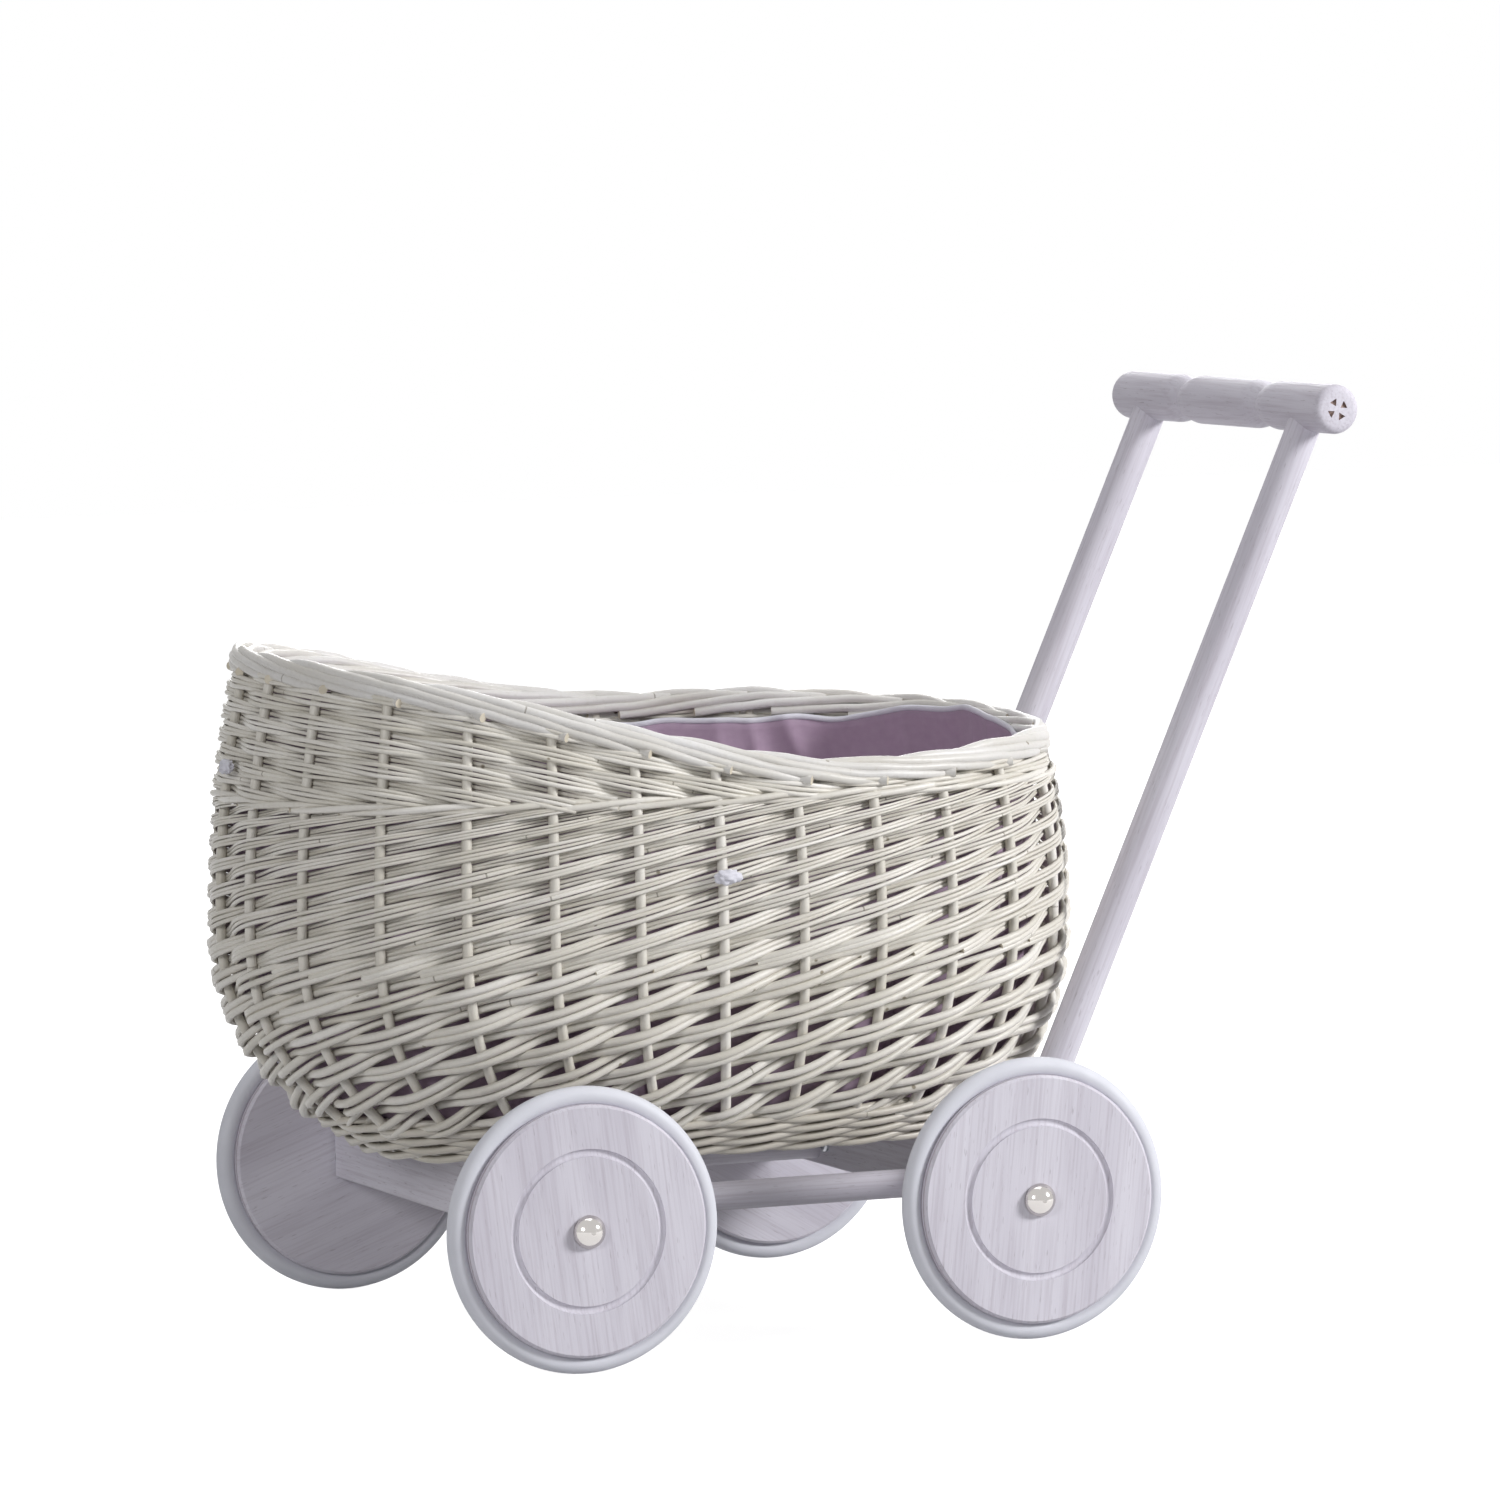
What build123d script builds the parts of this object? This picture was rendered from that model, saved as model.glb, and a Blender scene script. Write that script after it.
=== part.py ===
"""Doll pram: a hand-woven willow basket on a white-washed beech push frame with four wheels.

Frame: millimetres, +Z up, origin on the floor under the middle of the pram, +X towards the handle,
-Y to the left of whoever pushes it. The pram rolls forwards along -X.
"""

import os
from bisect import bisect
from math import ceil, cos, dist, exp, log, pi, radians, sin, tan

from build123d import *

# ---------------------------------------------------------------- driving dimensions, millimetres
# Wheels and axle pins
wheel_diameter = 150.0
wheelbase = 256.0
track = 357.0  # between the middle planes of the tyres
disc_diameter = 132.0
disc_thickness = 18.0
tyre_section = 10.5
tyre_seat_gap = 0.05
ring_groove_diameter = 82.0  # the turned ring on the outer face
ring_groove_width = 4.2
ring_groove_depth = 1.6
disc_edge_round = 1.5
axle_diameter = 8.0
axle_depth_in_board = 55.0
axle_seat_gap = 0.02
hub_running_gap = 0.08  # between hub bore and axle pin, on the radius
hub_side_gap = 0.3  # each side of the hub
cap_diameter = 17.5
cap_height = 7.0
cap_skirt = 1.2
cap_grip_depth = 4.0
spacer_diameter = 18.0
spacer_thickness = 3.7

# Frame
board_thickness = 20.0
board_bottom_z = 64.3
board_top_z = 100.0
board_edge_round = 1.5
rail_diameter = 15.4
rail_pin_gap = 13.3  # from a rail across to the axle pin's end beside it
rail_socket_depth = 12.0
dowel_gap = 0.05  # glued dowels in their sockets, on the radius

# Push handle
handlebar_z = 484.0
handlebar_diameter = 26.8
handlebar_length = 261.0
handlebar_end_round = 5.0
grip_groove_offset = 49.5  # each turned groove from the middle of the bar
grip_groove_width = 13.0
grip_groove_depth = 2.6
centre_mark_length = 4.6
centre_mark_width = 1.6
centre_mark_depth = 1.2
centre_mark_radius = 3.8
upright_diameter = 18.4
upright_half_spacing = 98.25
upright_lean = 24.3  # degrees from vertical
upright_setback = 25.4  # rear board to the uprights' axes, at the height of the board's top
upright_socket_depth = 13.0
cleat_depth = 42.0
cleat_overhang = 16.0  # beyond each upright's axis
cleat_bottom_wall = 4.0
cleat_edge_round = 2.0

# Screws
screw_diameter = 4.0
screw_head_diameter = 9.0
screw_head_height = 2.6
screw_slot_width = 1.1
screw_slot_length = 5.0
screw_slot_depth = 1.4
cleat_screw_half_spacing = 74.0
cleat_screw_z = 77.0
cleat_screw_length = 44.0
basket_screw_half_spacing = 45.0
basket_screw_length = 26.0
washer_diameter = 20.0
washer_thickness = 1.2

# Basket, over its rods
basket_front_overhang = 131.0  # in front of the front axle
basket_rear_overhang = 91.0  # behind the rear axle
basket_width = 300.0
bulge_z = 225.0
crown_z = 370.0
waist_z = 291.0
base_front_inset = 79.0
base_rear_inset = 50.0
base_side_inset = 46.0
crown_front_inset = 18.0
crown_rear_inset = 34.0
crown_side_inset = 12.0
lower_curve_power = 2.5
upper_curve_power = 2.0
plan_power = 2.5
wall_thickness = 10.0
base_thickness = 5.0
base_edge_gap = 0.2
foot_height = 22.0
# bands of rods climb from the foot to the waist, in front of one stake and behind the next
stake_count = 27
weave_bands = 41
weave_levels = 24
low_band_height = 8.7  # of the thick butts at the foot
high_band_height = 4.0  # of the thin tops at the waist
band_thinning_height = 45.0
weave_into_waist = 3.0  # how far the bands reach up behind the waist
weave_relief = 6.0  # how far a band lies back where it passes behind a stake
lower_weave_levels = 5
middle_weave_levels = 13
left_knot_place = (6, 7)  # stake from the hood end past the left side, and turn of the weave above the foot
right_knot_place = (20, 3)
rear_knot_place = (13, 6)
waist_height = 8.0
waist_proud = 1.0
rim_height = 13.0
rim_proud = 2.0
# height of the rim's top at shares of the basket's length, from the hood end
rim_heights = [(0.04, 370.0), (0.19, 358.5), (0.38, 337.5), (0.57, 321.5), (0.76, 320.0), (0.985, 320.5)]
rim_lean = 3.0  # degrees: the woven rim stands a little higher on the right
ring_points = 32
ring_step = 28.0  # height between the lofted rings

# Lining
lining_thickness = 2.0
lining_gap = 0.5
lining_drop = 17.0  # rim top to lining edge
piping_height = 3.5
knot_length = 11.0
knot_thickness = 6.5
knot_gap = 0.3
front_knot_z = 309.0

# ---------------------------------------------------------------- places worked out from them
axle_z = wheel_diameter / 2
lean = radians(upright_lean)
handlebar_reach = (
    wheelbase + board_thickness / 2 + upright_setback + (handlebar_z - board_top_z) * tan(lean)
)
front_axle_x = (basket_front_overhang - handlebar_reach - handlebar_diameter / 2) / 2
rear_axle_x = front_axle_x + wheelbase
handlebar_x = front_axle_x + handlebar_reach
board_length = track - disc_thickness - 2 * (hub_side_gap + spacer_thickness)
basket_length = basket_front_overhang + wheelbase + basket_rear_overhang
board_height = board_top_z - board_bottom_z
pin_root = board_length / 2 - axle_depth_in_board
rail_half_spacing = pin_root - rail_pin_gap - rail_diameter / 2
board_middle_z = (board_top_z + board_bottom_z) / 2
base_z = board_top_z
basket_front_x = front_axle_x - basket_front_overhang
lining_floor_z = base_z + base_thickness + washer_thickness + screw_head_height + lining_gap
rim_plane = Plane.XZ.rotated((rim_lean, 0, 0))
band_thinning = high_band_height / low_band_height
weave_top_z = waist_z - waist_height / 2 + weave_into_waist

os.makedirs("parts", exist_ok=True)


def save(part, name):
    part.label = name
    export_step(part, f"parts/{name}.step")


# ---------------------------------------------------------------- wheels
def wheel_plane(x, side):
    """Local x runs out from the hub, local y runs outwards along the axle."""
    return Plane(origin=(x, side * track / 2, axle_z), x_dir=(0, 0, 1), z_dir=(-side, 0, 0))


for end, x in (("front", front_axle_x), ("rear", rear_axle_x)):
    for hand, side in (("left", -1), ("right", 1)):
        plane = wheel_plane(x, side)
        hub = Axis((x, 0, axle_z), (0, 1, 0))
        hub_radius = axle_diameter / 2 + hub_running_gap
        tyre_radius = (wheel_diameter - tyre_section) / 2

        # Plywood disc with a round seat for the tyre and a turned ring on its outer face
        with BuildPart() as disc:
            with BuildSketch(plane):
                with Locations(((disc_diameter / 2 + hub_radius) / 2, 0)):
                    Rectangle(disc_diameter / 2 - hub_radius, disc_thickness)
                with Locations((tyre_radius, 0)):
                    Circle(tyre_section / 2 + tyre_seat_gap, mode=Mode.SUBTRACT)
                with Locations((ring_groove_diameter / 2, disc_thickness / 2)):
                    Ellipse(ring_groove_width / 2, ring_groove_depth, mode=Mode.SUBTRACT)
            revolve(axis=hub)
            rims = disc.edges().filter_by(GeomType.CIRCLE)
            rims = [e for e in rims if abs(e.radius - disc_diameter / 2) < 0.01]
            face_rims = sorted(rims, key=lambda e: abs(abs(e.center().Y) - track / 2))[-2:]
            chamfer(face_rims, disc_edge_round)
        save(disc.part, f"{end}_{hand}_wheel_disc")

        # Solid round-section rubber ring
        with BuildPart() as tyre:
            with BuildSketch(plane):
                with Locations((tyre_radius, 0)):
                    Circle(tyre_section / 2)
            revolve(axis=hub)
        save(tyre.part, f"{end}_{hand}_tyre")

# Steel axle pins, four alike
hub_outer = track / 2 + disc_thickness / 2
cap_base = hub_outer + hub_side_gap
pin_tip = cap_base + cap_grip_depth
with BuildPart() as axle_pins:
    for x in (front_axle_x, rear_axle_x):
        for side in (-1, 1):
            with BuildSketch(Plane.XZ.offset(-side * pin_root)):
                with Locations((x, axle_z)):
                    Circle(axle_diameter / 2)
            extrude(amount=-side * (pin_tip - pin_root))
save(axle_pins.part, "axle_pins")

# Domed push-on caps, each gripping the end of its pin
dome_height = cap_height - cap_skirt
dome_radius = ((cap_diameter / 2) ** 2 + dome_height**2) / (2 * dome_height)
dome_shoulder = (dome_radius * sin(pi / 6), cap_height - dome_radius * (1 - cos(pi / 6)))
with BuildPart() as hub_caps:
    for x in (front_axle_x, rear_axle_x):
        for side in (-1, 1):
            cap_plane = Plane(origin=(x, side * cap_base, axle_z), x_dir=(1, 0, 0), z_dir=(0, 0, side))
            with BuildSketch(cap_plane):
                with BuildLine():
                    foot = Line((0, 0), (cap_diameter / 2, 0))
                    skirt = Line(foot @ 1, (cap_diameter / 2, cap_skirt))
                    dome = ThreePointArc(skirt @ 1, dome_shoulder, (0, cap_height))
                    Line(dome @ 1, foot @ 0)
                make_face()
            revolve(axis=Axis((x, 0, axle_z), (0, 1, 0)))
            with BuildSketch(Plane.XZ.offset(-side * cap_base)):
                with Locations((x, axle_z)):
                    Circle(axle_diameter / 2 + axle_seat_gap)
            extrude(amount=-side * cap_grip_depth, mode=Mode.SUBTRACT)
save(hub_caps.part, "hub_caps")

# Spacers between the board ends and the hubs
with BuildPart() as spacers:
    for x in (front_axle_x, rear_axle_x):
        for side in (-1, 1):
            with BuildSketch(Plane.XZ.offset(-side * board_length / 2)):
                with Locations((x, axle_z)):
                    Circle(spacer_diameter / 2)
                    Circle(axle_diameter / 2 + axle_seat_gap, mode=Mode.SUBTRACT)
            extrude(amount=-side * spacer_thickness)
save(spacers.part, "hub_spacers")

# ---------------------------------------------------------------- frame
board_inner_gap = wheelbase - board_thickness
screw_hole = screw_diameter / 2 + axle_seat_gap
cleat_screw_places = [(side * cleat_screw_half_spacing, cleat_screw_z) for side in (-1, 1)]
for name, x, inwards in (("front_board", front_axle_x, 1), ("rear_board", rear_axle_x, -1)):
    inner_face_x = x + inwards * board_thickness / 2
    with BuildPart() as board:
        with Locations((x, 0, board_middle_z)):
            Box(board_thickness, board_length, board_height)
        fillet(board.edges().filter_by(Axis.Y), board_edge_round)
        # axle bores in both ends
        for side in (-1, 1):
            with BuildSketch(Plane.XZ.offset(-side * pin_root)):
                with Locations((x, axle_z)):
                    Circle(axle_diameter / 2 + axle_seat_gap)
            extrude(amount=-side * axle_depth_in_board, mode=Mode.SUBTRACT)
        # rail sockets in the inner face
        with BuildSketch(Plane.YZ.offset(inner_face_x)):
            with Locations((-rail_half_spacing, axle_z), (rail_half_spacing, axle_z)):
                Circle(rail_diameter / 2 + dowel_gap)
        extrude(amount=-inwards * rail_socket_depth, mode=Mode.SUBTRACT)
        # pilot holes for the screws that hold the basket down
        with BuildSketch(Plane.XY.offset(board_top_z)):
            with Locations((x, -basket_screw_half_spacing), (x, basket_screw_half_spacing)):
                Circle(screw_hole)
        extrude(amount=-basket_screw_length, mode=Mode.SUBTRACT)
        if inwards < 0:
            with BuildSketch(Plane.YZ.offset(inner_face_x)):
                with Locations(*cleat_screw_places):
                    Circle(screw_hole)
            extrude(amount=board_thickness, mode=Mode.SUBTRACT)
    save(board.part, name)

rail_start_x = front_axle_x + board_thickness / 2 - rail_socket_depth
rail_length = board_inner_gap + 2 * rail_socket_depth
for name, side in (("left_rail", -1), ("right_rail", 1)):
    with BuildPart() as rail:
        with BuildSketch(Plane.YZ.offset(rail_start_x)):
            with Locations((side * rail_half_spacing, axle_z)):
                Circle(rail_diameter / 2)
        extrude(amount=rail_length)
    save(rail.part, name)

# ---------------------------------------------------------------- push handle
lean_direction = (sin(lean), 0, cos(lean))
cleat_front_x = rear_axle_x + board_thickness / 2
cleat_half_length = upright_half_spacing + cleat_overhang


def upright_point(z, y):
    """Point on an upright's axis at height z."""
    return (handlebar_x - (handlebar_z - z) * tan(lean), y, z)


upright_foot_z = board_bottom_z + cleat_bottom_wall + upright_diameter / 2 * sin(lean)
upright_head_z = handlebar_z - (handlebar_diameter / 2 - upright_socket_depth) * cos(lean)
upright_length = (upright_head_z - upright_foot_z) / cos(lean)
for name, side in (("left_upright", -1), ("right_upright", 1)):
    foot = upright_point(upright_foot_z, side * upright_half_spacing)
    with BuildPart() as upright:
        with BuildSketch(Plane(origin=foot, z_dir=lean_direction)):
            Circle(upright_diameter / 2)
        extrude(amount=upright_length)
    save(upright.part, name)

with BuildPart() as handle_cleat:
    with Locations((cleat_front_x + cleat_depth / 2, 0, board_middle_z)):
        Box(cleat_depth, 2 * cleat_half_length, board_height)
    fillet(handle_cleat.edges().filter_by(Axis.Y).group_by(Axis.X)[-1], cleat_edge_round)
    for side in (-1, 1):
        foot = upright_point(upright_foot_z, side * upright_half_spacing)
        with BuildSketch(Plane(origin=foot, z_dir=lean_direction)):
            Circle(upright_diameter / 2 + dowel_gap)
        extrude(amount=board_height * 2, mode=Mode.SUBTRACT)
    with BuildSketch(Plane.YZ.offset(cleat_front_x)):
        with Locations(*cleat_screw_places):
            Circle(screw_hole)
    extrude(amount=cleat_screw_length - board_thickness, mode=Mode.SUBTRACT)
save(handle_cleat.part, "handle_cleat")

# Turned handlebar: rounded ends, two shallow grooves, and the mark of the lathe's drive centre
bar_radius = handlebar_diameter / 2
bar_half = handlebar_length / 2
bar_plane = Plane(origin=(handlebar_x, 0, handlebar_z), x_dir=(0, 1, 0), z_dir=(-1, 0, 0))
with BuildPart() as handlebar:
    with BuildSketch(bar_plane):
        with Locations((0, bar_radius / 2)):
            Rectangle(handlebar_length, bar_radius)
    revolve(axis=Axis((handlebar_x, 0, handlebar_z), (0, 1, 0)))
    fillet(handlebar.edges().filter_by(GeomType.CIRCLE), handlebar_end_round)
    with BuildSketch(bar_plane):
        with Locations((-grip_groove_offset, bar_radius), (grip_groove_offset, bar_radius)):
            Ellipse(grip_groove_width / 2, grip_groove_depth)
    revolve(axis=Axis((handlebar_x, 0, handlebar_z), (0, 1, 0)), mode=Mode.SUBTRACT)
    for side in (-1, 1):
        foot = upright_point(upright_foot_z, side * upright_half_spacing)
        with BuildSketch(Plane(origin=foot, z_dir=lean_direction)):
            Circle(upright_diameter / 2 + dowel_gap)
        extrude(amount=upright_length, mode=Mode.SUBTRACT)
    for side in (-1, 1):
        with BuildSketch(Plane.XZ.offset(side * bar_half)):
            with Locations((handlebar_x, handlebar_z)):
                with PolarLocations(centre_mark_radius, 4):
                    Rectangle(centre_mark_length, centre_mark_width)
        extrude(amount=-side * centre_mark_depth, mode=Mode.SUBTRACT)
save(handlebar.part, "handlebar")


# ---------------------------------------------------------------- screws
def cross_head_screw(head_plane, length, washer=False):
    """Round-head screw: the head stands on head_plane and the shank runs back behind it."""
    with BuildPart() as screw:
        seat = washer_thickness if washer else 0
        if washer:
            with BuildSketch(head_plane):
                Circle(washer_diameter / 2)
            extrude(amount=washer_thickness)
        with BuildSketch(head_plane.offset(seat)):
            Circle(screw_head_diameter / 2)
        extrude(amount=screw_head_height)
        head_rim = screw.edges().sort_by(Axis(head_plane.origin, head_plane.z_dir))[-1]
        fillet(head_rim, screw_head_height / 2)
        with BuildSketch(head_plane.offset(seat + screw_head_height)):
            Rectangle(screw_slot_length, screw_slot_width)
            Rectangle(screw_slot_width, screw_slot_length)
        extrude(amount=-screw_slot_depth, mode=Mode.SUBTRACT)
        with BuildSketch(head_plane):
            Circle(screw_diameter / 2)
        extrude(amount=-length)
    return screw.part


with BuildPart() as cleat_screws:
    for side in (-1, 1):
        at = (rear_axle_x - board_thickness / 2, side * cleat_screw_half_spacing, cleat_screw_z)
        add(cross_head_screw(Plane(origin=at, z_dir=(-1, 0, 0)), cleat_screw_length))
save(cleat_screws.part, "cleat_screws")

with BuildPart() as basket_screws:
    for x in (front_axle_x, rear_axle_x):
        for side in (-1, 1):
            at = (x, side * basket_screw_half_spacing, base_z + base_thickness)
            add(cross_head_screw(Plane(origin=at, z_dir=(0, 0, 1)), basket_screw_length, washer=True))
save(basket_screws.part, "basket_screws")


# ---------------------------------------------------------------- basket
def basket_outline(z, inset):
    """Middle, half length and half width of the basket at height z, a given depth inside its rods."""
    below = max(0.0, (bulge_z - z) / (bulge_z - base_z)) ** lower_curve_power
    above = max(0.0, (z - bulge_z) / (crown_z - bulge_z)) ** upper_curve_power
    front = basket_front_x + base_front_inset * below + crown_front_inset * above + inset
    rear = basket_front_x + basket_length - base_rear_inset * below - crown_rear_inset * above - inset
    half_width = basket_width / 2 - base_side_inset * below - crown_side_inset * above - inset
    return (front + rear) / 2, (rear - front) / 2, half_width


def outline_point(angle, outline):
    """Point on the basket's rounded-oval outline, the angle counted from the handle's end."""
    middle, half_length, half_width = outline
    c = cos(angle)
    s = sin(angle)
    reach = (abs(c) ** plan_power + abs(s) ** plan_power) ** (-1 / plan_power)
    return middle + half_length * reach * c, half_width * reach * s


walk_steps = 1440
walk = [outline_point(pi + 2 * pi * step / walk_steps, basket_outline(bulge_z, 0)) for step in range(walk_steps + 1)]
walked = [0.0]
for here, there in zip(walk, walk[1:]):
    walked.append(walked[-1] + dist(here, there))


def stake_angle(stake):
    """Angle at which a stake stands: they are evenly spaced round the bulge, from the hood end."""
    distance = (stake + 0.5) / stake_count % 1.0 * walked[-1]
    step = bisect(walked, distance) - 1
    part = (distance - walked[step]) / (walked[step + 1] - walked[step])
    return pi + 2 * pi * (step + part) / walk_steps


def level_height(level):
    """Height of a level of the weave, counted from the foot."""
    left = (weave_levels - level) * low_band_height / band_thinning_height
    return weave_top_z - band_thinning_height * log(1 + band_thinning * (exp(left) - 1))


def level_at(z):
    """Level of the weave at a height."""
    left = log(1 + (exp((weave_top_z - z) / band_thinning_height) - 1) / band_thinning)
    return weave_levels - left * band_thinning_height / low_band_height


def front_level(stake, turn):
    """Level at which a band passes in front of a stake, at a turn of the weave."""
    return (stake + 0.5) * weave_bands / stake_count - stake - 1 + 2 * turn


def basket_core(bottom, top, inset):
    """Solid that fills the basket's rounded-oval form between two heights."""
    steps = ceil((top - bottom) / ring_step)
    with BuildPart() as core:
        for step in range(steps + 1):
            z = bottom + (top - bottom) * step / steps
            outline = basket_outline(z, inset)
            ring = [outline_point(2 * pi * turn / ring_points, outline) for turn in range(ring_points)]
            with BuildSketch(Plane.XY.offset(z)):
                with BuildLine():
                    Spline(*ring, periodic=True)
                make_face()
        loft()
    return core.part


def woven_core(bottom, top):
    """The same solid, standing forward where a band is in front of a stake and back where it is behind."""
    rings = [level_height(half_level / 2) for half_level in range(2 * weave_levels)]
    heights = [bottom, *(z for z in rings if bottom + 1.5 < z < top - 1.5), top]
    with BuildPart() as core:
        for z in heights:
            ring = []
            for stake in range(stake_count):
                forward = cos(pi * (level_at(z) - front_level(stake, 0)))
                ring.append(outline_point(stake_angle(stake), basket_outline(z, weave_relief * (1 - forward) / 2)))
                ring.append(outline_point(stake_angle(stake + 0.5), basket_outline(z, weave_relief / 2)))
            with BuildSketch(Plane.XY.offset(z)):
                with BuildLine():
                    Spline(*ring, periodic=True)
                make_face()
        loft(ruled=True)
    return core.part


def basket_band(bottom, top, outer_inset, inner_inset):
    """Closed band of the basket's wall between two heights."""
    with BuildPart() as band:
        add(basket_core(bottom, top, outer_inset))
        add(basket_core(bottom, top, inner_inset), mode=Mode.SUBTRACT)
    return band.part


def rim_slab(low, high):
    """Block between two heights measured from the top of the rim, following its sweep to the hood."""
    curve = [(basket_front_x + share * basket_length, z) for share, z in rim_heights]
    curve.insert(0, (basket_front_x - wall_thickness, curve[0][1] + 2))
    curve.append((basket_front_x + basket_length + wall_thickness, curve[-1][1]))
    with BuildPart() as slab:
        with BuildSketch(rim_plane):
            with BuildLine():
                upper = Spline([(x, z + high) for x, z in curve])
                if low is None:
                    lower = Line((curve[0][0], 0), (curve[-1][0], 0))
                else:
                    lower = Spline([(x, z + low) for x, z in curve])
                Line(upper @ 0, lower @ 0)
                Line(upper @ 1, lower @ 1)
            make_face()
        extrude(amount=basket_width, both=True)
    return slab.part


foot_top_z = base_z + foot_height
waist_bottom_z = waist_z - waist_height / 2
waist_top_z = waist_z + waist_height / 2
wall_top_z = crown_z + rim_height

with BuildPart() as basket_base:
    add(basket_core(base_z, foot_top_z, wall_thickness + base_edge_gap))
    split(bisect_by=Plane.XY.offset(base_z + base_thickness), keep=Keep.BOTTOM)
    with BuildSketch(Plane.XY.offset(base_z)):
        for x in (front_axle_x, rear_axle_x):
            with Locations((x, -basket_screw_half_spacing), (x, basket_screw_half_spacing)):
                Circle(screw_hole)
    extrude(amount=base_thickness, mode=Mode.SUBTRACT)
save(basket_base.part, "basket_base")

save(basket_band(base_z, foot_top_z, 0, wall_thickness), "basket_foot_wale")
band_bottom_z = foot_top_z
for name, band_top_z in (
    ("basket_lower_weave", level_height(lower_weave_levels)),
    ("basket_middle_weave", level_height(middle_weave_levels)),
    ("basket_upper_weave", waist_bottom_z),
):
    with BuildPart() as weave:
        add(woven_core(band_bottom_z, band_top_z))
        add(basket_core(band_bottom_z, band_top_z, wall_thickness), mode=Mode.SUBTRACT)
    save(weave.part, name)
    band_bottom_z = band_top_z
save(basket_band(waist_bottom_z, waist_top_z, -waist_proud, wall_thickness), "basket_waist_wale")

with BuildPart() as hood_wall:
    add(basket_band(waist_top_z, wall_top_z, 0, wall_thickness))
    add(rim_slab(None, -rim_height), mode=Mode.INTERSECT)
save(hood_wall.part, "basket_hood_weave")

with BuildPart() as rim_border:
    add(basket_band(waist_top_z, wall_top_z, -rim_proud, wall_thickness + rim_proud))
    add(rim_slab(-rim_height, 0), mode=Mode.INTERSECT)
save(rim_border.part, "basket_rim_border")

# ---------------------------------------------------------------- lining
lining_inset = wall_thickness + rim_proud + lining_gap
with BuildPart() as lining:
    add(basket_core(lining_floor_z, wall_top_z, lining_inset))
    hollow = basket_core(lining_floor_z + lining_thickness, wall_top_z, lining_inset + lining_thickness)
    add(hollow, mode=Mode.SUBTRACT)
    add(rim_slab(None, -lining_drop), mode=Mode.INTERSECT)
save(lining.part, "lining")

with BuildPart() as piping:
    add(basket_band(waist_z, wall_top_z, lining_inset, lining_inset + lining_thickness))
    add(rim_slab(-lining_drop, -lining_drop + piping_height), mode=Mode.INTERSECT)
save(piping.part, "lining_piping")

# Cotton knots on the outside, where the lining is tied through the weave
knot_stand = knot_thickness / 2 + knot_gap
front_middle, front_half_length = basket_outline(front_knot_z, 0)[:2]
knot_places = [((front_middle - front_half_length - knot_stand, 0, front_knot_z), (0, 1, 0))]
for (stake, turn), out, along in (
    (left_knot_place, (0, -1), (1, 0, 0)),
    (right_knot_place, (0, 1), (1, 0, 0)),
    (rear_knot_place, (1, 0), (0, 1, 0)),
):
    z = level_height(front_level(stake, turn))
    x, y = outline_point(stake_angle(stake), basket_outline(z, 0))
    knot_places.append(((x + out[0] * knot_stand, y + out[1] * knot_stand, z), along))
with BuildPart() as knots:
    for centre, along in knot_places:
        with BuildSketch(Plane(origin=centre, x_dir=along, z_dir=(0, 0, 1))):
            Ellipse(knot_length / 2, knot_thickness / 2)
            with Locations((0, -knot_thickness / 2)):
                Rectangle(knot_length, knot_thickness, mode=Mode.SUBTRACT)
        revolve(axis=Axis(centre, along))
save(knots.part, "lining_knots")
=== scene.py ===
"""Looks of a wicker doll pram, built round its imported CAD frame.

Metres throughout: +Z up, +X towards the handle, so the raised hood end of the basket is at -X.
"""

import math
from bisect import bisect_right

import bmesh
import bpy
from mathutils import Matrix, Vector, noise


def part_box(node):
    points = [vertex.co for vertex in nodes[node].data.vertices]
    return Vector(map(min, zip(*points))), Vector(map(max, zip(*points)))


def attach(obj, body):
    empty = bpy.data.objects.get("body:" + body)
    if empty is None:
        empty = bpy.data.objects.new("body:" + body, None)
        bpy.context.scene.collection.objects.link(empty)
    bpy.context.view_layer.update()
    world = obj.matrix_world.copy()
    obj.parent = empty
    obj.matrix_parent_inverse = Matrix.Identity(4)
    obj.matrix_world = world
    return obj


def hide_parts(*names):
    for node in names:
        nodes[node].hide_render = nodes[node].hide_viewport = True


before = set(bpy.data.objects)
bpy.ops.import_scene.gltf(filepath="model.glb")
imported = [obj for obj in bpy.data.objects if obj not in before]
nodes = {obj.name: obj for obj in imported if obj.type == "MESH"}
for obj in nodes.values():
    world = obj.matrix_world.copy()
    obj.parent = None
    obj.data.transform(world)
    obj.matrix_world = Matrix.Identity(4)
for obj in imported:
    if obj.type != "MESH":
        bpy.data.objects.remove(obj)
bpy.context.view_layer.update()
scene = bpy.context.scene

# ---------------------------------------------------------------- camera
# A long lens a little above the wheels, off the pram's left front corner, rolled by under a degree.
lens_right = Vector((0.9220, -0.3871, -0.0157))
lens_up = Vector((0.0454, 0.0677, 0.9967))
lens_ahead = Vector((0.3847, 0.9196, -0.0800))
camera_data = bpy.data.cameras.new("camera")
camera_data.sensor_width = 36.0
camera_data.lens = 213.3
camera = bpy.data.objects.new("camera", camera_data)
camera.matrix_world = Matrix.LocRotScale(
    Vector((-1.8523, -4.4259, 0.6892)),
    Matrix((lens_right, lens_up, -lens_ahead)).transposed().to_quaternion(),
    None,
)
scene.collection.objects.link(camera)
scene.camera = camera


# ---------------------------------------------------------------- wooden frame and handle
# Beech boards, dowels and a lathe-turned bar, brushed with thin white wash and wiped: the grain
# and its short dark pores show through, cooler and darker where the wash is thin.
MATH = "ShaderNodeMath"
NOISE = "ShaderNodeTexNoise"
MIX = "ShaderNodeMix"
RANGE = "ShaderNodeMapRange"


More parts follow.
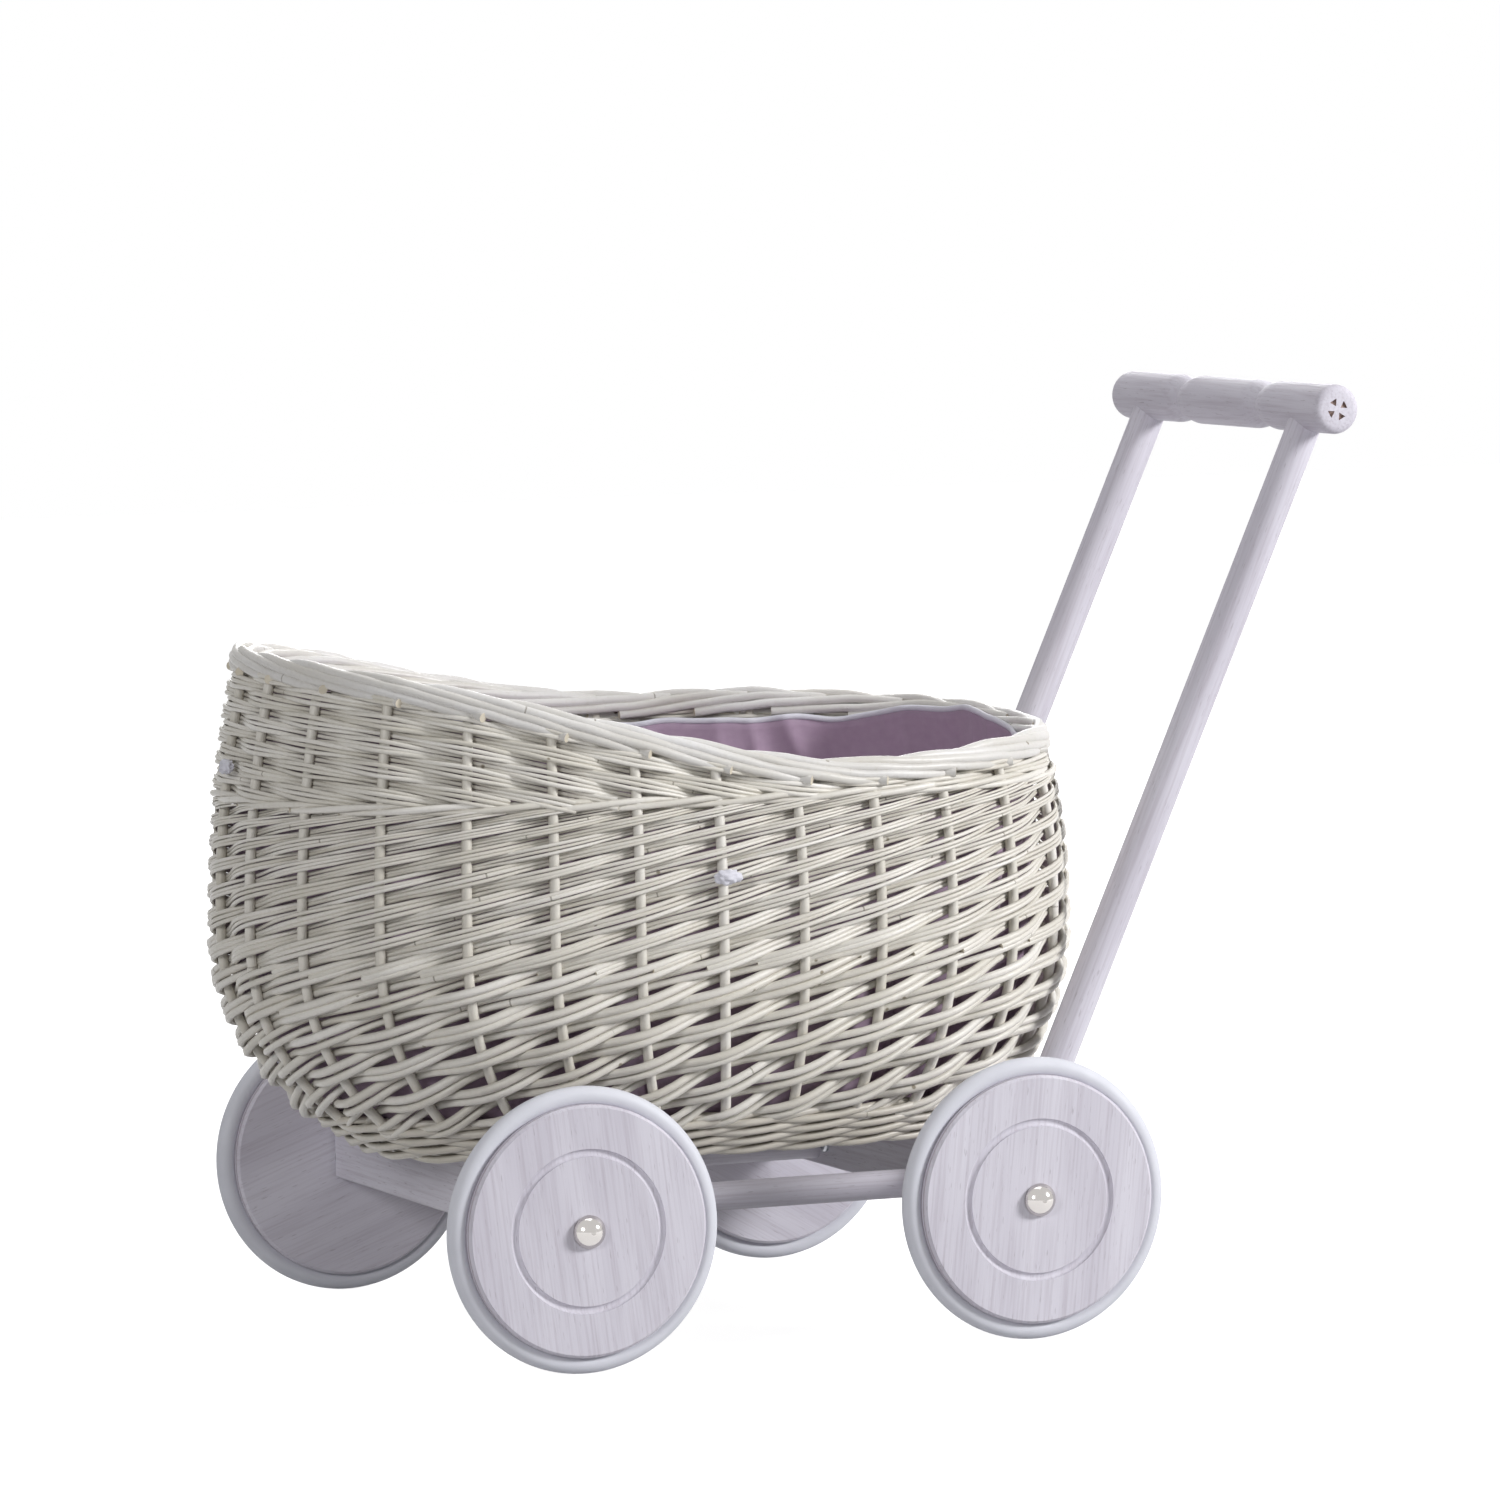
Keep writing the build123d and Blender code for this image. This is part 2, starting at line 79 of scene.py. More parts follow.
def linear(hex_colour):
    """Linear RGBA of an sRGB hex colour."""
    shares = [int(hex_colour[i : i + 2], 16) / 255 for i in (0, 2, 4)]
    return [s / 12.92 if s <= 0.04045 else ((s + 0.055) / 1.055) ** 2.4 for s in shares] + [1.0]


def add_node(tree, kind, *values, out=0, named=(), **settings):
    """Adds a node with its settings; its inputs, in order or by name, are values or links."""
    made = tree.nodes.new(kind)
    for setting, value in settings.items():
        setattr(made, setting, value)
    for key, value in [*enumerate(values), *dict(named).items()]:
        if isinstance(value, bpy.types.NodeSocket):
            tree.links.new(value, made.inputs[key])
        elif value is not None:
            made.inputs[key].default_value = value
    return made.outputs[out] if made.outputs else made


def new_material(name):
    """Empty material, its tree, and its shader with an output."""
    material = bpy.data.materials.new(name)
    material.use_nodes = True
    tree = material.node_tree
    tree.nodes.clear()
    shader = add_node(tree, "ShaderNodeBsdfPrincipled")
    add_node(tree, "ShaderNodeOutputMaterial", shader)
    return material, tree, shader.node


def whitewashed_beech(name, along, ply=False):
    """Satin wood with its grain along one direction; ply adds the edge's glued layers."""
    material, tree, shader = new_material(name)
    place = add_node(tree, "ShaderNodeTexCoord", out=3)
    turn = Vector(along).to_track_quat("X", "Z").to_euler()
    colour = linear("d9d6e0")
    layers = {}
    # metres along and across the grain, then where each layer starts and ends, how strong it is, its tone
    for layer, length, width, detail, start, end, strength, tone in (
        ("wash", 0.16, 0.020, 2.0, 0.35, 0.68, 1.0, "cac6d1"),
        ("grain", 0.055, 0.0016, 3.0, 0.46, 0.74, 0.34, "a398a3"),
        ("pores", 0.0085, 0.0007, 1.0, 0.67, 0.74, 0.32, "7d6f78"),
    ):
        spot = add_node(
            tree, "ShaderNodeMapping", vector_type="TEXTURE",
            named={"Vector": place, "Rotation": turn, "Scale": (length, width, width)},
        )
        layers[layer] = add_node(tree, NOISE, named={"Vector": spot, "Scale": 1.0, "Detail": detail})
        shown = add_node(tree, RANGE, layers[layer], start, end, 0.0, strength)
        colour = add_node(tree, MIX, shown, named={6: colour, 7: linear(tone)}, out=2, data_type="RGBA")
    if ply:
        # glued veneers, seen on the edge only
        veneer_pair = 0.003
        height = add_node(tree, "ShaderNodeSeparateXYZ", place, out=1)
        stripes = add_node(tree, MATH, height, 2 * math.pi / veneer_pair, operation="MULTIPLY")
        stripes = add_node(tree, MATH, stripes, operation="SINE")
        facing = add_node(tree, "ShaderNodeSeparateXYZ", place.node.outputs[1], out=1)
        facing = add_node(tree, MATH, facing, operation="ABSOLUTE")
        edge = add_node(tree, RANGE, facing, 0.75, 0.35, 0.0, 1.0)
        stripes = add_node(tree, RANGE, stripes, -0.4, 0.6, 0.0, 0.6)
        edge = add_node(tree, MATH, edge, stripes, operation="MULTIPLY")
        colour = add_node(tree, MIX, edge, named={6: colour, 7: linear("9d8f92")}, out=2, data_type="RGBA")
    tree.links.new(colour, shader.inputs["Base Color"])
    rough = add_node(tree, RANGE, layers["grain"], 0.3, 0.7, 0.52, 0.68)
    tree.links.new(rough, shader.inputs["Roughness"])
    relief = {"Strength": 0.35, "Distance": 0.0003, "Height": layers["grain"]}
    relief = add_node(tree, "ShaderNodeBump", named=relief, invert=True)
    tree.links.new(relief, shader.inputs["Normal"])
    return material


def finish_nodes(material, *names):
    """Gives CAD nodes their finish."""
    for name in names:
        for place in nodes[name].material_slots:
            place.material = material


bar_low, bar_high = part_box("handlebar")
foot_low, foot_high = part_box("left_upright")
upright_run = Vector((foot_high.x - foot_low.x, 0, foot_high.z - foot_low.z))
upright_run.x -= foot_high.y - foot_low.y
for name, along, *pieces in (
    ("across", (0, 1, 0), "front_board", "rear_board", "handle_cleat"),
    ("bar", (0.02, 1, 0.01), "handlebar"),
    ("rails", (1, 0.01, 0), "left_rail", "right_rail"),
    ("uprights", upright_run, "left_upright", "right_upright"),
):
    finish_nodes(whitewashed_beech(f"whitewashed_beech_{name}", along), *pieces)


# ---------------------------------------------------------------- handlebar
# Beech turned on a lathe: rounded ends, two coves whose soft shoulders part three grips, and the
# four dents of the drive centre in each end, coloured a darker brown. The uprights are glued into its
# underside.
def keep_shape(shape, data):
    """Turns a shape's faces outwards and keeps it as a mesh."""
    bmesh.ops.recalc_face_normals(shape, faces=shape.faces)
    shape.to_mesh(data)
    shape.free()
    return data


bar_radius = (bar_high.z - bar_low.z) / 2
bar_half = (bar_high.y - bar_low.y) / 2
cove_place, cove_half, cove_depth, cove_shoulder = 0.0495, 0.0155, 0.0032, 1.6
end_round = 0.0042
straight_half = 0.12  # the length that is turned in even steps, up to where the ends start to round
around_steps = 72
dent_turn, dents = 28, 4
dent_near, dent_far, dent_half, dent_depths = 0.0019, 0.0055, 0.0022, (0.0004, 0.0016, 0.0016)
# a plain darker warm brown in the dents, dull
dent_darker_beech, tree, shader = new_material("dent_darker_beech")
shader.inputs["Base Color"].default_value = linear("a08a82")
shader.inputs["Roughness"].default_value = 0.8

stations = [bar_half - end_round * (1 - math.sin(i * math.pi / 16)) for i in range(9)]
stations = [-y for y in reversed(stations)] + [-straight_half + 0.0015 * i for i in range(161)] + stations
bar_shape = bmesh.new()
rings = []
for y in stations:
    past_end = max(0.0, abs(y) - (bar_half - end_round))
    radius = bar_radius - end_round + math.sqrt(max(0.0, end_round**2 - past_end**2))
    near_cove = 1 - abs(abs(y) - cove_place) / cove_half
    radius -= cove_depth * max(0.0, near_cove) ** cove_shoulder
    turns = [2 * math.pi * i / around_steps for i in range(around_steps)]
    rings.append([bar_shape.verts.new((radius * math.cos(a), y, radius * math.sin(a))) for a in turns])
for ring, other in zip(rings, rings[1:]):
    for i in range(around_steps):
        j = (i + 1) % around_steps
        bar_shape.faces.new((ring[i], other[i], other[j], ring[j]))
bar_shape.faces.new(rings[0])
bar_shape.faces.new(reversed(rings[-1]))
bar_data = keep_shape(bar_shape, bpy.data.meshes.new("handlebar_turned"))
bar_data.materials.append(bpy.data.materials["whitewashed_beech_bar"])
bar_data.materials.append(dent_darker_beech)

# each dent is a three-sided pit, deepest at its outer corner
pits = bmesh.new()
for side in (-1, 1):
    for i in range(dents):
        turn = math.radians(dent_turn + 360 / dents * i)
        out = Vector((math.cos(turn), 0, math.sin(turn)))
        across = Vector((-math.sin(turn), 0, math.cos(turn)))
        mouth = [dent_near * out, dent_far * out + dent_half * across, dent_far * out - dent_half * across]
        top = [pits.verts.new(spot + Vector((0, side * (bar_half + 0.001), 0))) for spot in mouth]
        low = [
            pits.verts.new(spot + Vector((0, side * (bar_half - depth), 0)))
            for spot, depth in zip(mouth, dent_depths)
        ]
        pits.faces.new(top)
        pits.faces.new(low)
        for a, b in ((0, 1), (1, 2), (2, 0)):
            pits.faces.new((top[a], top[b], low[b], low[a]))
pit_data = keep_shape(pits, bpy.data.meshes.new("drive_centre_dents"))
pit_block = bpy.data.objects.new("drive_centre_dents", pit_data)
bar = bpy.data.objects.new("handlebar_turned", bar_data)
for made in (pit_block, bar):
    scene.collection.objects.link(made)
cutting = bar.modifiers.new("dents", "BOOLEAN")
cutting.operation = "DIFFERENCE"
cutting.solver = "EXACT"
cutting.object = pit_block
depsgraph = bpy.context.evaluated_depsgraph_get()
turned = bpy.data.meshes.new_from_object(bar.evaluated_get(depsgraph), depsgraph=depsgraph)
bar.modifiers.remove(cutting)
bpy.data.objects.remove(pit_block)
bar.data = turned
turned.name = "handlebar_turned"
for face in turned.polygons:
    face.use_smooth = True
    inner = math.hypot(face.center.x, face.center.z) < dent_far + 0.0005
    face.material_index = 1 if inner and abs(face.center.y) < bar_half - 1e-5 else 0
turned.set_sharp_from_angle(angle=math.radians(35))
turned.transform(Matrix.Translation(((bar_low.x + bar_high.x) / 2, 0, (bar_low.z + bar_high.z) / 2)))
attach(bar, "frame")
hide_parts("handlebar")


# ---------------------------------------------------------------- wheels
# Birch plywood discs, turned and white-washed, each with a solid white rubber ring let into its
# edge, on steel pins under domed chrome-plated push-on caps.
wheels = ("front_left", "front_right", "rear_left", "rear_right")
for wheel, grain_angle in zip(wheels, (97, 20, 84, 150)):
    turn = math.radians(grain_angle)
    along = (math.cos(turn), 0, math.sin(turn))
    veneer = whitewashed_beech(f"whitewashed_birch_ply_{wheel}", along, ply=True)
    finish_nodes(veneer, f"{wheel}_wheel_disc")

# solid white rubber out of a mould: smooth and matte, clouded by a faint bloom
rubber, tree, shader = new_material("white_moulded_rubber")
place = add_node(tree, "ShaderNodeTexCoord", out=3)
bloom = add_node(tree, NOISE, named={"Vector": place, "Scale": 55.0, "Detail": 4.0})
tones = {6: linear("dddee6"), 7: linear("d2d3dc")}
tree.links.new(add_node(tree, MIX, bloom, named=tones, out=2, data_type="RGBA"), shader.inputs["Base Color"])
tree.links.new(add_node(tree, RANGE, bloom, 0.3, 0.7, 0.5, 0.66), shader.inputs["Roughness"])
dust = add_node(tree, NOISE, named={"Vector": place, "Scale": 900.0, "Detail": 2.0})
relief = add_node(tree, "ShaderNodeBump", named={"Strength": 0.2, "Distance": 0.0001, "Height": dust})
tree.links.new(relief, shader.inputs["Normal"])
finish_nodes(rubber, *(f"{wheel}_tyre" for wheel in wheels))

# chrome plate mirrors the room with a trace of handling; zinc plate is a soft, duller grey
for name, tone, scale, detail, smoothest, dullest, *pieces in (
    ("chrome_plate", "c6c2bf", 240.0, 5.0, 0.06, 0.17, "hub_caps"),
    (
        "zinc_plated_steel", "a9abb0", 400.0, 4.0, 0.28, 0.46,
        "axle_pins", "hub_spacers", "cleat_screws", "basket_screws",
    ),
):
    plate, tree, shader = new_material(name)
    shader.inputs["Base Color"].default_value = linear(tone)
    shader.inputs["Metallic"].default_value = 1.0
    place = add_node(tree, "ShaderNodeTexCoord", out=3)
    handling = add_node(tree, NOISE, named={"Vector": place, "Scale": scale, "Detail": detail})
    rough = add_node(tree, RANGE, handling, 0.3, 0.7, smoothest, dullest)
    tree.links.new(rough, shader.inputs["Roughness"])
    finish_nodes(plate, *pieces)


# ---------------------------------------------------------------- form of the basket
# The basket swells from its flat foot to the bulge and draws in to the rim, which sweeps up to
# the hood end. Unseen moulds of that form carry every stake and rod.
foot_low, foot_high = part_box("basket_foot_wale")
waist_low, waist_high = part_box("basket_waist_wale")
front_x, rear_x, half_width = -0.3046, 0.1734, 0.150  # to the crests of the rods, at the bulge
foot_z, bulge_z, crown_z = foot_low.z, foot_low.z + 0.125, foot_low.z + 0.270
squareness = 2.5  # of the plan: 2 is an ellipse
stake_count = 27
# shares of the way from the hood end to the handle end, and the rim's height there
rim_tops = [
    (-0.02, 0.3725), (0.04, 0.3710), (0.19, 0.3585), (0.38, 0.3370),
    (0.57, 0.3210), (0.76, 0.3200), (0.985, 0.3205), (1.02, 0.3205),
]
rod_depth = 0.006  # from the crest of the outer rods to the stakes' middle


def wall_point(angle, height, depth):
    """Point on the basket, turning from the hood end past the left side, some depth inside it.

    The numbers are how far front, rear and sides draw in, at the foot and then at the crown.
    """
    below = max(0.0, (bulge_z - height) / (bulge_z - foot_z)) ** 2.5
    above = max(0.0, (height - bulge_z) / (crown_z - bulge_z)) ** 2
    front = front_x + 0.079 * below + 0.018 * above + depth
    rear = rear_x - 0.050 * below - 0.034 * above - depth
    side = half_width - 0.046 * below - 0.012 * above - depth
    c, s = math.cos(angle), math.sin(angle)
    reach = (abs(c) ** squareness + abs(s) ** squareness) ** (-1 / squareness)
    return Vector(((front + rear) / 2 - (rear - front) / 2 * reach * c, -side * reach * s, height))


angle_steps = 3600
girth = [0.0]
for step in range(angle_steps):
    a = wall_point(2 * math.pi * step / angle_steps, bulge_z, rod_depth)
    b = wall_point(2 * math.pi * (step + 1) / angle_steps, bulge_z, rod_depth)
    girth.append(girth[-1] + (b - a).length)


def angle_at(share):
    """Angle at a share of the way round, so that the stakes are evenly spaced at the bulge."""
    travelled = (share % 1.0) * girth[-1]
    step = min(bisect_right(girth, travelled) - 1, angle_steps - 1)
    part = (travelled - girth[step]) / (girth[step + 1] - girth[step])
    return 2 * math.pi * (step + part) / angle_steps + 2 * math.pi * math.floor(share)


def rim_top(x, y):
    """Height of the rim's top: it sweeps down from the hood end, and leans to the left most in the middle."""
    share = (x - front_x) / (rear_x - front_x)
    last = len(rim_tops) - 2
    i = min(max(bisect_right([s for s, _ in rim_tops], share) - 1, 0), last)
    points = [rim_tops[min(max(i + k, 0), last + 1)] for k in (-1, 0, 1, 2)]
    (s0, z0), (s1, z1), (s2, z2), (s3, z3) = points
    t = (share - s1) / (s2 - s1)
    m1 = (z2 - z0) / (s2 - s0) * (s2 - s1)
    m2 = (z3 - z1) / (s3 - s1) * (s2 - s1)
    z = (2 * t**3 - 3 * t**2 + 1) * z1 + (t**3 - 2 * t**2 + t) * m1
    z += (3 * t**2 - 2 * t**3) * z2 + (t**3 - t**2) * m2
    lean = 2.0 + 2.1 * math.exp(-(((share - 0.70) / 0.2) ** 2))
    return z + y * math.tan(math.radians(lean))


def rim_height(share, depth=rod_depth):
    """Height of the rim's top at a share of the way round: a first guess that settles in five rounds."""
    z = 0.33
    for _ in range(5):
        spot = wall_point(angle_at(share), z, depth)
        z = rim_top(spot.x, spot.y)
    return z


def mould(name, height_at, rows):
    """Unseen grid over the form: its UV map is the share of the way round and of the height."""
    columns = stake_count * 10
    data = bpy.data.meshes.new(name)
    points, heights, faces, map_points = [], [], [], []
    for row in range(rows + 1):
        for column in range(columns + 1):
            share = column / columns
            z = height_at(share, row / rows)
            points.append(wall_point(angle_at(share % 1.0), z, rod_depth))
            under, over = max(row - 1, 0) / rows, min(row + 1, rows) / rows
            heights.append((height_at(share, over) - height_at(share, under)) / (over - under))
            map_points.append((share, row / rows))
    for row in range(rows):
        for column in range(columns):
            a = row * (columns + 1) + column
            faces.append((a, a + 1, a + columns + 2, a + columns + 1))
    data.from_pydata(points, [], faces)
    rise = data.attributes.new("rise", "FLOAT", "POINT")
    rise.data.foreach_set("value", heights)
    around = data.uv_layers.new(name="around_and_up")
    for loop in data.loops:
        around.data[loop.index].uv = map_points[loop.vertex_index]
    return bpy.data.objects.new(name, data)


# ---------------------------------------------------------------- willow rods
# Peeled and bleached white willow: round rods, warm off-white to faintly green, satin, each its
# own tint, with a few bud scars and here and there the nick where a new rod is pieced in.
# Each piece numbers its rods from its own start. The stouter rods of rim and foot are tinted: the foot's
# darker, as painted shade under the basket, and the rim's greyer, partly its own neutral tone and partly
# painted shade.
stake_rods, body_rods, hood_rods, foot_rods, waist_rods, rim_rods = 1000, 2000, 3000, 4000, 4100, 5000
willow, tree, shader = new_material("bleached_willow")
rod = add_node(tree, "ShaderNodeAttribute", out=2, attribute_name="rod")
along = add_node(tree, "ShaderNodeAttribute", out=2, attribute_name="along")
place = add_node(tree, "ShaderNodeTexCoord", out=3)
own = add_node(tree, "ShaderNodeTexWhiteNoise", noise_dimensions="1D", named={"W": rod})
# rim rods: a greyer tint, partly their own more neutral tone and partly painted shade for the weaker light on
# the rim
rim_tone_and_painted_shade = add_node(tree, RANGE, rod, rim_rods - 100.0, rim_rods - 50.0, 0.0, 0.75)
# foot rods: a darker tint, painted shade for the shade under the basket and its boards
foot_painted_shade = add_node(tree, RANGE, rod, foot_rods - 10.0, float(foot_rods), 0.0, 0.5)
past_foot_painted_shade = add_node(tree, RANGE, rod, foot_rods + 50.0, foot_rods + 60.0, 1.0, 0.0)
foot_painted_shade = add_node(tree, MATH, foot_painted_shade, past_foot_painted_shade, operation="MULTIPLY")
course = add_node(tree, "ShaderNodeCombineXYZ", add_node(tree, MATH, along, 9.0, operation="MULTIPLY"), rod)
drift = add_node(tree, NOISE, named={"Vector": course, "Scale": 1.0, "Detail": 3.0})
drift = add_node(tree, RANGE, drift, 0.35, 0.7, 0.0, 0.55)
streak = add_node(tree, NOISE, named={"Vector": place, "Scale": 420.0, "Detail": 3.0})
streaks = add_node(tree, RANGE, streak, 0.5, 0.75, 0.0, 0.15)
buds = add_node(tree, "ShaderNodeTexVoronoi", named={"Vector": place, "Scale": 42.0})
buds = add_node(tree, RANGE, buds, 0.035, 0.06, 0.75, 0.0)
joint = add_node(tree, MATH, own, 0.9, operation="MULTIPLY")
joint = add_node(tree, MATH, along, joint, operation="SUBTRACT")
joint = add_node(tree, MATH, joint, operation="ABSOLUTE")
joint = add_node(tree, RANGE, joint, 0.0003, 0.0006, 0.65, 0.0)
cut = add_node(tree, "ShaderNodeAttribute", out=2, attribute_name="cut")
colour = linear("eeebe6")
for shown, tone in (
    (own, "dad6cd"), (rim_tone_and_painted_shade, "dad9da"), (foot_painted_shade, "aaa294"), (drift, "c1bbac"),
    (streaks, "b5ae9e"), (buds, "6a5b3c"), (joint, "6a604e"), (cut, "cfc6b4"),
):
    colour = add_node(tree, MIX, shown, named={6: colour, 7: linear(tone)}, out=2, data_type="RGBA")
tree.links.new(colour, shader.inputs["Base Color"])
tree.links.new(add_node(tree, RANGE, streak, 0.3, 0.7, 0.36, 0.5), shader.inputs["Roughness"])
relief = add_node(tree, "ShaderNodeBump", named={"Strength": 0.1, "Distance": 0.0002, "Height": streak})
tree.links.new(relief, shader.inputs["Normal"])

NAMED = "GeometryNodeInputNamedAttribute"
STORE = "GeometryNodeStoreNamedAttribute"


def start_tree(name, sizes):
    """New geometry tree with a named input for each size, and its group's sockets."""
    tree = bpy.data.node_groups.new(name, "GeometryNodeTree")
    kinds = {int: "Int", float: "Float", bpy.types.Object: "Object", bpy.types.Material: "Material"}
    for label, value in sizes.items():
        tree.interface.new_socket(label, in_out="INPUT", socket_type=f"NodeSocket{kinds[type(value)]}")
    tree.interface.new_socket("Mesh", in_out="OUTPUT", socket_type="NodeSocketGeometry")
    return tree, add_node(tree, "NodeGroupInput").node.outputs


def straight_rods(tree, given, count):
    """Rods as straight unit curves, each with its number and the share along it."""
    rods = add_node(tree, "GeometryNodeCurvePrimitiveLine", (0, 0, 0), (1, 0, 0))
    rods = add_node(tree, "GeometryNodeResampleCurve", rods, None, given["Points"])
    rods = add_node(tree, "GeometryNodeDuplicateElements", rods, None, count, domain="SPLINE")
    number = rods.node.outputs[1]
    share = add_node(tree, "GeometryNodeSplineParameter")
    return rods, number, share


def rods_in_threes(tree, given, count):
    """Straight rods worked three to a band: as above, with each one's place in its band and the band."""
    total = add_node(tree, MATH, count, 3.0, operation="MULTIPLY")
    rods, number, share = straight_rods(tree, given, total)
    strand = add_node(tree, MATH, number, 3.0, operation="MODULO")
    band = add_node(tree, MATH, number, 3.0, operation="DIVIDE")
    return rods, number, share, strand, add_node(tree, MATH, band, operation="FLOOR")


def weft_side(tree, stake, band):
    """1 where a rod passes in front of a stake and -1 behind it, changing with the stake and the band."""
    weft = add_node(tree, MATH, stake, band, operation="ADD")
    weft = add_node(tree, MATH, weft, 0.5, operation="ADD")
    weft = add_node(tree, MATH, weft, math.pi, operation="MULTIPLY")
    return add_node(tree, MATH, weft, operation="COSINE")


def wandering(tree, stake, number, apart, scale, least, most):
    """Slow drift along a rod, each rod reading the noise at its own place."""
    course = add_node(tree, MATH, number, apart, operation="MULTIPLY")
    course = add_node(tree, "ShaderNodeCombineXYZ", stake, course)
    wander = add_node(tree, NOISE, named={"Vector": course, "Scale": scale, "Detail": 1.0})
    return add_node(tree, RANGE, wander, 0.2, 0.8, least, most)


def lay_on_mould(tree, given, rods, stake, height, lift, rise=0.0):
    """Sets the rods on the mould at a stake and height share, lifted off it, and raised."""
    round_share = add_node(tree, MATH, stake, float(stake_count), operation="DIVIDE")
    past_column = 0.000004  # a hair past the mould's columns, so every run reads the same face's slope
    round_share = add_node(tree, MATH, round_share, past_column, operation="ADD")
    round_share = add_node(tree, MATH, round_share, operation="FRACT")
    height = add_node(tree, "ShaderNodeClamp", height, 0.0005, 0.9995)
    spot = add_node(tree, "ShaderNodeCombineXYZ", round_share, height)
    form = add_node(tree, "GeometryNodeObjectInfo", given["Mould"], out=4)
    map_point = add_node(tree, NAMED, "around_and_up", data_type="FLOAT_VECTOR")
    surface, outward = (
        add_node(
            tree, "GeometryNodeSampleUVSurface", form, add_node(tree, kind), map_point, spot,
            data_type="FLOAT_VECTOR",
        )
        for kind in ("GeometryNodeInputPosition", "GeometryNodeInputNormal")
    )
    outward = add_node(tree, "ShaderNodeVectorMath", outward, operation="NORMALIZE")
    lifted = add_node(tree, "ShaderNodeVectorMath", named={0: outward, "Scale": lift}, operation="SCALE")
    raised = add_node(tree, "ShaderNodeCombineXYZ", 0.0, 0.0, rise)
    place = add_node(tree, "ShaderNodeVectorMath", surface, lifted, operation="ADD")
    place = add_node(tree, "ShaderNodeVectorMath", place, raised, operation="ADD")
    return add_node(tree, "GeometryNodeSetPosition", rods, None, place)


def round_rods(tree, given, rods, number, radius, first_number):
    """Makes curves into capped rods that know their number and the metres along them."""
    length = add_node(tree, "GeometryNodeSplineParameter", out=1)
    rods = add_node(tree, STORE, rods, None, "along", length, data_type="FLOAT")
    tally = add_node(tree, MATH, number, float(first_number), operation="ADD")
    rods = add_node(tree, STORE, rods, None, "rod", tally, data_type="FLOAT")
    ring = add_node(
        tree, "GeometryNodeCurvePrimitiveCircle", given["Sides"], mode="RADIUS", named={"Radius": 1.0}
    )
    mesh = add_node(tree, "GeometryNodeCurveToMesh", rods, ring, radius, True)
    mesh = add_node(tree, "GeometryNodeSetShadeSmooth", mesh)
    mesh = add_node(tree, "GeometryNodeRealizeInstances", mesh)
    mesh = add_node(tree, "GeometryNodeSetMaterial", mesh, None, given["Willow"])
    add_node(tree, "NodeGroupOutput", mesh)


def own_thickness(tree, given, number, usual, least, most):
    """The usual radius times each rod's own share of it."""
    own = {2: least, 3: most, "ID": number, "Seed": given["Seed"]}
    own = add_node(tree, "FunctionNodeRandomValue", out=1, data_type="FLOAT", named=own)
    return add_node(tree, MATH, usual, own, operation="MULTIPLY")


def lay_and_round(tree, given, rods, number, radius, first_number, stake, height, lift, rise=0.0):
    """Keeps the radius along each rod while it is laid on the mould, and makes it round."""
    rods = add_node(tree, STORE, rods, None, "thickness", radius, data_type="FLOAT")
    rods = lay_on_mould(tree, given, rods, stake, height, lift, rise)
    radius = add_node(tree, NAMED, "thickness", data_type="FLOAT")
    round_rods(tree, given, rods, number, radius, first_number)


def weave_piece(name, tree, sizes):
    """Runs a tree once and keeps the result as a plain mesh, with its cut rod ends marked."""
    piece = bpy.data.objects.new(name, bpy.data.meshes.new(name))
    scene.collection.objects.link(piece)
    modifier = piece.modifiers.new("weaving", "NODES")
    modifier.node_group = tree
    for item in tree.interface.items_tree:
        if item.in_out == "INPUT":
            modifier[item.identifier] = sizes[item.name]
    depsgraph = bpy.context.evaluated_depsgraph_get()
    woven = bpy.data.meshes.new_from_object(
        piece.evaluated_get(depsgraph), preserve_all_data_layers=True, depsgraph=depsgraph
    )
    piece.modifiers.remove(modifier)
    piece.data = woven
    woven.name = name
    woven.set_sharp_from_angle(angle=math.radians(70))
    cut = woven.attributes.new("cut", "FLOAT", "FACE")
    cut.data.foreach_set("value", [float(len(face.vertices) > 4) for face in woven.polygons])
    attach(piece, "frame")
    return piece


# ---------------------------------------------------------------- stakes
# 27 upright rods, 5.5 mm thick, pushed in beside the base sticks and carried up to the rim.
stake_end = 0.0065  # below the rim's top
wall_mould = mould(
    "wall_mould", lambda share, up: foot_z + up * (rim_height(share) - stake_end - foot_z), 40
)
sizes = {
    "Mould": wall_mould,
    "Willow": willow,
    "Stakes": stake_count,
    "Points": 48,
    "Sides": 10,
    "Radius": 0.00275,
}
tree, given = start_tree("stakes", sizes)
rods, number, share = straight_rods(tree, given, given["Stakes"])
stake = add_node(tree, MATH, number, 0.5, operation="ADD")
rods = lay_on_mould(tree, given, rods, stake, share, 0.0)
round_rods(tree, given, rods, number, given["Radius"], stake_rods)
weave_piece("basket_stakes", tree, sizes)


# ---------------------------------------------------------------- body weave
# French randing: bands of two thick rods climb to the right past stake after stake, in front of
# one and behind the next. Rods thin towards the waist, where a third joins each band.
level_count = 24.0
band_count = 41
waist_line = waist_low.z + 0.003  # the rods end under the waist wale


def band_height_at(share, up):
    """Height of a band of rods by its level above the foot; the lower bands are taller."""
    left = level_count * (1 - up)
    return waist_line - 0.045 * math.log(0.5402 + 0.4598 * math.exp(0.19333 * left))


